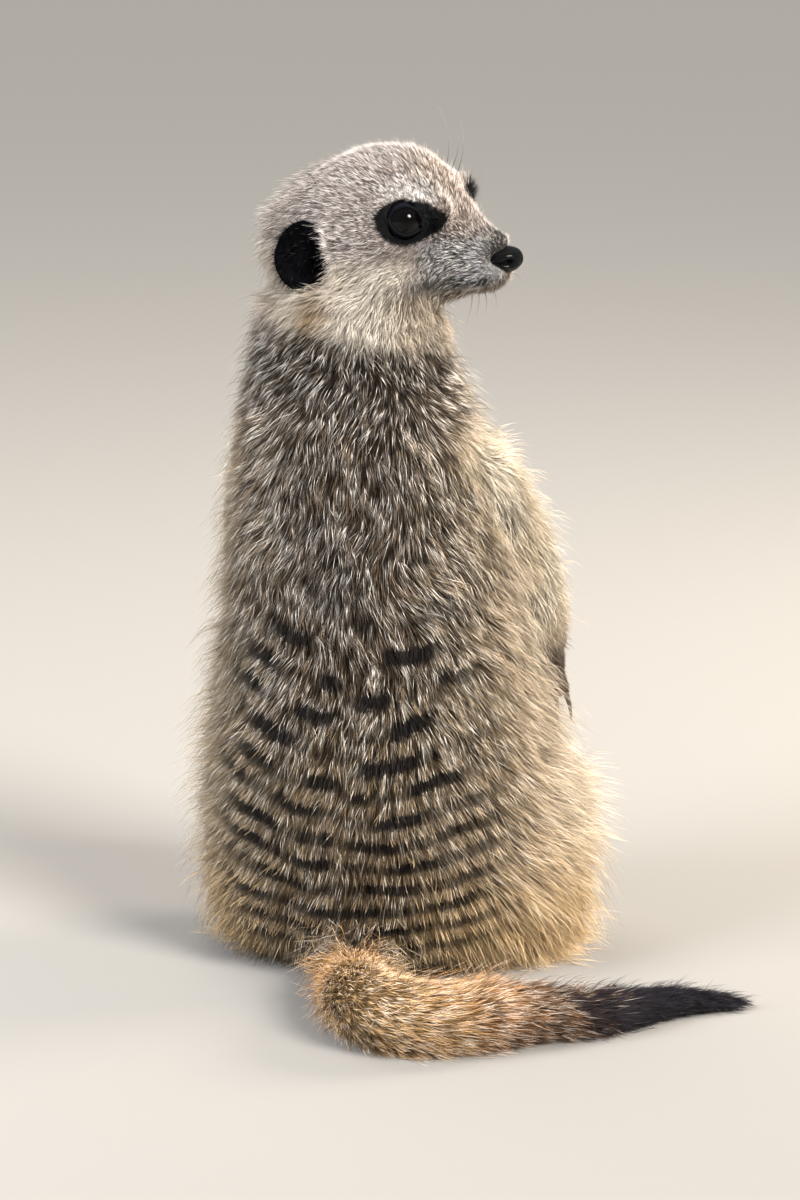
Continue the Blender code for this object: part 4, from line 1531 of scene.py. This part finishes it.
# %% Length and rise of each hair
BENT_SHARE = 0.2  # of the longer cover hairs
longer_fringe = 1 + 0.35 * fringe * smooth_step(root_height, 0.004, 0.009)
length = root_length * rng.uniform(0.7, 1.15, hair_count) * longer_fringe
cover_rise, underfur_rise = rng.uniform(0.7, 1.3, hair_count), rng.uniform(0.4, 0.95, hair_count)
tip_rise = root_tip_height * np.where(is_cover, cover_rise, underfur_rise)
tip_rise *= 0.72 + 0.56 * wander(roots, 4 * MM, 23)  # tufts of a few millimetres stand higher than others
is_stray = (rng.uniform(size=hair_count) < stray_chance) & (root_length > 2)
is_bent = is_cover & (root_length > 4) & ((rng.uniform(size=hair_count) < BENT_SHARE) | is_stray)
longer = rng.uniform(1.15, 1.5, hair_count)
length = np.where(is_stray, length * longer, length)
tip_rise = np.where(is_stray, tip_rise * longer * rng.uniform(1.3, 2.2, hair_count), tip_rise)
tip_rise = np.minimum(tip_rise, 0.8 * length)
reach = np.sqrt(length**2 - tip_rise**2)
tips = roots + (ways * reach[:, None] + root_normals * tip_rise[:, None]) * MM
print("strays:", int(is_stray.sum()), "bent hairs:", int(is_bent.sum()))

# %% Locks
CLUMP_SIZE = 11
STRAY_PULL = 0.1
clump_count = max(1, hair_count // CLUMP_SIZE)
leaders = rng.choice(hair_count, clump_count, replace=False)
clump_tree = KDTree(clump_count)
for i, leader in enumerate(leaders):
    clump_tree.insert(Vector(roots[leader]), i)
clump_tree.balance()
clump_of = np.array([clump_tree.find(Vector(p))[1] for p in roots])
leader_of = leaders[clump_of]
root_pull = root_pull * (1 - 0.4 * planted.read(smooth_step(turn_from_back, 80, 110) * trunk_share))
pull = np.where(is_stray, STRAY_PULL, root_pull * rng.uniform(0.5, 1.2, hair_count))[:, None]
tips = tips + (tips[leader_of] - tips) * pull
clump_chance = rng.uniform(size=clump_count)[clump_of]
chance = np.clip((0.45 * clump_chance + 0.55 * rng.uniform(size=hair_count) - 0.5) * 1.3 + 0.5, 0, 1)
chance = np.where(is_cover, 0.82 * chance, 0.25 + 0.75 * chance)
print("locks:", clump_count)

# %% Bend the hairs and keep them in bounds
MIDWAY = 0.48
LOWEST_HAIR = 0.00035
REACH_PAST_SOLIDS = 0.0085  # no tip stands further than this outside the box of the solid model
solid_low, solid_high = (np.array(corner) for corner in solid_box)
tips = np.clip(tips, solid_low - REACH_PAST_SOLIDS, solid_high + REACH_PAST_SOLIDS)
mid = roots + (tips - roots) * MIDWAY
bulge = ((tips - roots) * root_normals).sum(axis=1) * (MIDWAY - MIDWAY**2)
mid = mid + root_normals * bulge[:, None]
for ends in (tips, mid):
    ends[:, 2] = np.maximum(ends[:, 2], LOWEST_HAIR)
print("highest tip:", round(float(tips[:, 2].max()), 4), "m")

# %% Keep hair out of the eyes
EYE_GUARD = 9.5  # hair nearer than this to an eye's middle is moved off the opening
for word in BOTH_SIDES:
    across, up, _ = eye_axes(word)
    for ends in (tips, mid):
        _, distance, x, y, z = from_eye(ends, word)
        over_opening = in_oval(x, y, EYE_OPENING[0] + 0.45, EYE_OPENING[1] + 0.4)
        blocking = (distance < EYE_GUARD) & (z > 0) & (over_opening < 1.0)
        push = (across * x[:, None] + up * y[:, None]) * MM
        scale = 1 / np.maximum(over_opening, 0.2) - 1
        ends[blocking] += (push * scale[:, None])[blocking]
print("eyes are clear")

# %% Colour the hairs
COLOUR_AT = 0.7  # a hair takes its colour from the place this far along it
marked_at = roots + (tips - roots) * COLOUR_AT
hair_colours = ground_colour(marked_at, root_zones)
row_strength = dark_rows(marked_at, root_zones)[1]
print("hairs in rows:", int((row_strength > 0.3).sum()))

# %% How grizzled each hair is
UNDERFUR_DARK = 0.6  # share of its light that the underfur of the grizzled zones loses
PLAIN = 0.15
GRIZZLED = {
    "head": 0.8,
    "neck": 0.95,
    "trunk": 1.0,
    "thigh": 0.85,
    "upper_arm": 0.2,
    "tail_root": 0.4,
    "tail_middle": 0.65,
    "tail_outer": 0.55,
    "tail_tip": 0.4,
}
grizzle_at = root_zones @ np.array([GRIZZLED.get(z, PLAIN) for z in zone_names])
on_muzzle = smooth_step(root_ahead, 12, 18) * smooth_step(root_above, 9, 5) * smooth_step(root_ahead, 34, 30)
on_muzzle *= root_head
grizzle_at = np.maximum(grizzle_at, 0.9 * on_muzzle)
pale_cheek = smooth_step(root_above, 4, -4) * smooth_step(root_ahead, 20, 10) * root_head
grizzle_at = grizzle_at * (1 - 0.8 * pale_cheek)
furred_pale = smooth_step(hair_colours.max(axis=1), 0.62, 0.95)
furred_pale *= share_of("neck", "trunk", "thigh", shares=root_zones)
is_lit = smooth_step(hair_colours.mean(axis=1), 0.03, 0.08)
grizzle_at = grizzle_at * is_lit * (1 - 0.6 * furred_pale)
grizzle_at *= 1 - 0.35 * row_strength * smooth_step(root_height, 0.085, 0.05)
hair_colours = hair_colours * np.where(is_cover, 1.0, 1 - UNDERFUR_DARK * grizzle_at)[:, None]
print("mean colour of hairs:", np.round(hair_colours.mean(axis=0), 2))

# %% One table of all hairs
coat = {
    "root": roots,
    "mid": mid,
    "tip": tips,
    "normal": root_normals,
    "width": root_width * np.where(is_stray, 0.7, 1.0) * (1 + 0.25 * on_muzzle),
    "bent": is_bent,
    "chance": chance,
    "grizzle": grizzle_at,
    "colour": hair_colours,
    "row_strength": row_strength,
    "place": main_zone,
}
print("columns:", ", ".join(coat))

# %% [markdown]
# The ears have their own nap: short black hairs that run out over the rim, with a few dark grey ones. They are
# added to the same table, so that they are built in the same way as the rest of the coat.

# %% Nap of the ears
EAR_PLACE = len(zone_names)
EAR_DENSITY = 560
EAR_HAIR = 2.6  # length, mm
EAR_HAIR_WIDTH = 0.2
EAR_LIMIT = 6000
GREY_SHARE = 0.04
for word, shell in ear_shapes.items():
    middle, back, up, out = ear_axes[word]
    shell_points = read_vertices(shell.data)
    shell_normals = read_vertices(shell.data, "normal")
    faces_out = smooth_step(shell_normals @ out, -0.1, 0.3)
    nap = Scatter(shell.data, shell_points, EAR_DENSITY * faces_out + 1e-3, EAR_LIMIT, rng)
    nap_roots = nap.read(shell_points)
    nap_normals = unit(nap.read(shell_normals))
    spread = nap_roots - middle
    nap_ways = flat_on_skin(unit(spread) + back * 0.8 - up * 0.2, nap_normals)
    nap_ways = turned(nap_ways, nap_normals, rng.normal(0, 0.3, nap.count))
    nap_length = EAR_HAIR * rng.uniform(0.6, 1.2, (nap.count, 1)) * MM
    nap_rise = nap_length * rng.uniform(0.1, 0.35, (nap.count, 1))
    nap_tips = nap_roots + nap_ways * nap_length * 0.95 + nap_normals * nap_rise
    is_grey = rng.uniform(size=(nap.count, 1)) < GREY_SHARE
    ear_coat = {
        "root": nap_roots,
        "mid": (nap_roots + nap_tips) / 2,
        "tip": nap_tips,
        "normal": nap_normals,
        "width": np.full(nap.count, EAR_HAIR_WIDTH),
        "bent": np.zeros(nap.count, dtype=bool),
        "chance": rng.uniform(size=nap.count),
        "grizzle": np.zeros(nap.count),
        "colour": np.where(is_grey, EAR_GREY, BLACK),
        "row_strength": np.zeros(nap.count),
        "place": np.full(nap.count, EAR_PLACE),
    }
    coat = {label: np.concatenate([values, ear_coat[label]]) for label, values in coat.items()}
print("hairs with ears:", len(coat["root"]))

# %% [markdown]
# ## From the table to meshes
# A straight hair is a spike of three sides on one ring of points, and a bent one has a second ring midway. All
# hairs of a piece become one mesh at once, from arrays, because that is hundreds of times faster than a loop.
# Each piece also gets an unwrap for baking: each hair is a small patch at its root's place on the body, which
# is laid out by the share along the middle line and the turn round it.

# %% Rings of a hair
SIDES = 3
RING_WIDTHS = (0.9, 0.85)  # of the hair's width, at the root and midway
FLATNESS = 0.6
ROOT_DEPTH = 0.0003
CAP = [(2, 1, 0)]
NEEDLE_FACES = np.array(CAP + [(k, (k + 1) % SIDES, SIDES) for k in range(SIDES)])
BENT_FACES = CAP + [(k, (k + 1) % SIDES, 3 + (k + 1) % SIDES) for k in range(SIDES)]
BENT_FACES += [(k, 3 + (k + 1) % SIDES, 3 + k) for k in range(SIDES)]
BENT_FACES = np.array(BENT_FACES + [(3 + k, 3 + (k + 1) % SIDES, 6) for k in range(SIDES)])


def hair_rings(picked, shares):
    """Rings of points round each picked hair's line, at the shares of its length, and its tip."""
    base, middle, tip, normal = (coat[label][picked] for label in ("root", "mid", "tip", "normal"))
    way = unit(tip - base)
    across = unit(np.cross(way, normal))
    lift = np.cross(across, way)
    width = coat["width"][picked] * MM
    rings = []
    for share in shares:
        centre = base - normal * ROOT_DEPTH if share == 0 else middle
        wide = RING_WIDTHS[0] if share == 0 else RING_WIDTHS[1]
        for k in range(SIDES):
            turn = 2 * math.pi * (k + 0.25) / SIDES
            out = across * math.cos(turn) + lift * (math.sin(turn) * FLATNESS)
            rings.append(centre + out * (0.5 * wide * width)[:, None])
    return np.stack(rings + [tip], axis=1)


print("triangles of a straight and a bent hair:", len(NEEDLE_FACES), len(BENT_FACES))

# %% Pieces of the coat
PATCH_SIZE = 0.003


def mesh_of_triangles(name, points, faces):
    """A smooth mesh from arrays of points and of triangles."""
    data = bpy.data.meshes.new(name)
    data.vertices.add(len(points))
    data.vertices.foreach_set("co", points.ravel())
    data.loops.add(len(faces) * 3)
    data.loops.foreach_set("vertex_index", faces.ravel())
    data.polygons.add(len(faces))
    data.polygons.foreach_set("loop_start", np.arange(len(faces)) * 3)
    data.update(calc_edges=True)
    data.shade_smooth()
    return data


def coat_piece(name, picked, unwrap):
    """One coat piece: closed three-sided spikes on the picked roots, some straight and some bent."""
    points, faces, along, owner = [], [], [], []
    total = 0
    for bent, pattern, shares in ((False, NEEDLE_FACES, (0,)), (True, BENT_FACES, (0, MIDWAY))):
        some = np.flatnonzero(coat["bent"][picked] == bent)
        ringed = hair_rings(picked[some], shares)
        per_hair = ringed.shape[1]
        points.append(ringed.reshape(-1, 3))
        starts = total + np.arange(len(some)) * per_hair
        faces.append((pattern[None] + starts[:, None, None]).reshape(-1, 3))
        along.append(np.tile(np.repeat([*shares, 1.0], [SIDES] * len(shares) + [1]), len(some)))
        owner.append(np.repeat(some, per_hair))
        total += len(some) * per_hair
    points, faces, along, owner = (np.concatenate(part) for part in (points, faces, along, owner))
    data = mesh_of_triangles(name, points, faces)
    store(data, "along", along)
    store(data, "row_at", rows(points)[0])
    for label in ("row_strength", "chance", "grizzle"):
        store(data, label, coat[label][picked][owner])
    store(data, "coat_colour", coat["colour"][picked][owner], "FLOAT_COLOR")
    around = np.tile([-0.5, 0.5, 0.0], len(along) // SIDES + 1)[: len(along)] * (along < 1)
    spot = np.column_stack([around, along - 0.5]) * PATCH_SIZE
    corners = unwrap[owner] + spot
    layer = data.uv_layers.new(name="OFBake")
    layer.data.foreach_set("uv", corners[faces.ravel()].ravel())
    data.materials.append(black_fur if name == "coat_ears" else fur)
    piece = link_new(name, data)
    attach(piece, "root")
    return piece, len(faces)


print("patch of each hair on the unwrap:", PATCH_SIZE)

# %% Groups of pieces
GROUPS = {  # coat piece: its zones, its middle line, the record's finish
    "coat_head": (("head",), "head", "coat_pale"),
    "coat_body": (("neck", "trunk"), "trunk", "coat_grizzled"),
    "coat_leg_left": (("thigh", "hind_foot"), "leg_left", "coat_grizzled"),
    "coat_leg_right": (("thigh", "hind_foot"), "leg_right", "coat_grizzled"),
    "coat_arm_left": (("upper_arm", "forearm", "forepaw"), "arm_left", "coat_pale"),
    "coat_arm_right": (("upper_arm", "forearm", "forepaw"), "arm_right", "coat_pale"),
    "coat_ears": ((), "ears", "coat_black"),
    "coat_tail": (TAIL_ZONES, "tail", "coat_gold"),
}
LEFT_FROM = 0.003  # the split between the left and the right legs and arms, along X


def members_of(group_name, members, line_name):
    """The numbers of the hairs that belong to a group."""
    places = [EAR_PLACE] if line_name == "ears" else [zone_names.index(z) for z in members]
    wanted = np.isin(coat["place"], places)
    if "left" in group_name:
        wanted &= coat["root"][:, 0] > LEFT_FROM
    if "right" in group_name:
        wanted &= coat["root"][:, 0] <= LEFT_FROM
    return np.flatnonzero(wanted)


def unwrap_ears(points):
    """Places on the two ears: how far up, and across, with one ear in each half of the map."""
    is_left = (points - head_middle) @ HEAD_AXES[1] > 0
    share, turn = np.zeros(len(points)), np.zeros(len(points))
    for word, chosen, shift in (("left", is_left, 0.0), ("right", ~is_left, 0.5)):
        middle, back, up, out = ear_axes[word]
        away = (points[chosen] - middle) / MM
        share[chosen] = 0.5 + away @ up / (2.3 * EAR_HALF[1])
        turn[chosen] = shift + 0.25 + away @ back / (4.6 * EAR_HALF[0])
    return share, turn


print("groups:", ", ".join(GROUPS))

# %% Build the coat
TRIANGLE_LIMIT = 190_000
triangles_of = np.where(coat["bent"], len(BENT_FACES), len(NEEDLE_FACES))
total_triangles = 0
for group_name, (members, line_name, finish) in GROUPS.items():
    members_at = members_of(group_name, members, line_name)
    if line_name == "ears":
        share, turn = unwrap_ears(coat["root"][members_at])
    else:
        share, _, turn = along_line(coat["root"][members_at], LINES[line_name])
    order = np.argsort(share)
    members_at, share, turn = members_at[order], share[order], turn[order]
    counted = np.cumsum(triangles_of[members_at])
    pieces_needed = math.ceil(counted[-1] / TRIANGLE_LIMIT)
    part_of = np.minimum((counted - 1) * pieces_needed // counted[-1], pieces_needed - 1)
    for number in range(pieces_needed):
        part = part_of == number
        low, high = share[part].min(), share[part].max()
        stretched = (share[part] - low) / max(high - low, 1e-6)
        unwrap = np.clip(np.column_stack([turn[part], stretched]), 0.002, 0.998)
        label = group_name if pieces_needed == 1 else f"{group_name}_{number + 1}"
        piece, triangles = coat_piece(label, members_at[part], unwrap)
        total_triangles += triangles
        print(label, triangles, "triangles")
print("coat triangles:", total_triangles)

# %% [markdown]
# ## Whiskers
# A few long hairs stand out of the muzzle, cheek, brow and chin. They are thin tapered tubes that curve back.

# %% Whiskers
WHISKER_RINGS = 9
WHISKER_SIDES = 4
WHISKERS = (  # root in the head's axes, way out, length mm
    ((33, 6.0, -5.5), (0.35, 0.9, 0.25), 17),
    ((31, 7.0, -7.0), (0.15, 1.0, 0.05), 20),
    ((29, 7.6, -8.5), (0.0, 1.0, -0.20), 19),
    ((33, 6.0, -8.5), (0.45, 0.8, -0.30), 14),
    ((27, 8.0, -6.5), (-0.1, 1.0, 0.25), 16),
    ((30, 3.5, -13.5), (0.45, 0.35, -0.9), 8),
    ((26, 3.0, -14.5), (0.2, 0.3, -1.0), 9),
    ((17, 11.0, 15.5), (0.35, 0.35, 1.0), 22),
    ((14, 12.0, 17.5), (0.15, 0.45, 1.0), 24),
    ((15.5, 10.5, 17.0), (0.5, 0.2, 1.0), 18),
    ((10, 18.0, -8.0), (-0.2, 1.0, -0.35), 13),
)
whisker_material, whisker_tree, whisker_shader = plain_material("whisker_hair", (0.06, 0.05, 0.05), 0.4, 0.4)
WHISKER_ENDS = [(0.0, (0.02, 0.017, 0.016, 1)), (1.0, (0.22, 0.19, 0.17, 1))]
whisker_tone = ramp(whisker_tree, attribute(whisker_tree, "along"), WHISKER_ENDS)
whisker_tree.links.new(whisker_tone, whisker_shader.inputs["Base Color"])
print("whisker finish:", whisker_material.name)

# %% Grow the whiskers
skin_surface = BVHTree.FromObject(skin, bpy.context.evaluated_depsgraph_get())
bend = -HEAD_AXES[0] * 0.35 - HEAD_AXES[2] * 0.18
points, faces = [], []
for side in BOTH_SIDES.values():
    for root, way, whisker_length in WHISKERS:
        start = from_head(np.array(root, dtype=float) * (1, side, 1))
        start = np.array(skin_surface.find_nearest(Vector(start))[0])
        heading = unit((np.array(way) * (1, side, 1)) @ HEAD_AXES)
        one = unit(np.cross(heading, (0.2, 0.5, 0.8)))
        two = np.cross(heading, one)
        first_point = len(points)
        for i in range(WHISKER_RINGS):
            share = i / (WHISKER_RINGS - 1)
            centre = start + (heading * share + bend * share**2) * whisker_length * MM
            radius = (0.11 * (1 - share) + 0.02) * MM
            for k in range(WHISKER_SIDES):
                turn = 2 * math.pi * k / WHISKER_SIDES
                points.append(centre + (one * math.cos(turn) + two * math.sin(turn)) * radius)
        faces += [tuple(first_point + n for n in f) for f in grid_faces(WHISKER_RINGS, WHISKER_SIDES)]
        last = first_point + (WHISKER_RINGS - 1) * WHISKER_SIDES
        faces.append(tuple(range(first_point, first_point + WHISKER_SIDES)))
        faces.append(tuple(range(last, last + WHISKER_SIDES)))
whiskers = mesh_piece("whiskers", points, faces, whisker_material)
along_whisker = np.repeat(np.linspace(0, 1, WHISKER_RINGS), WHISKER_SIDES)
store(whiskers.data, "along", np.tile(along_whisker, 2 * len(WHISKERS)))
print("whiskers:", 2 * len(WHISKERS))

# %% The box of the solid model
print("solid box", [[round(x, 4) for x in p] for p in solid_box])
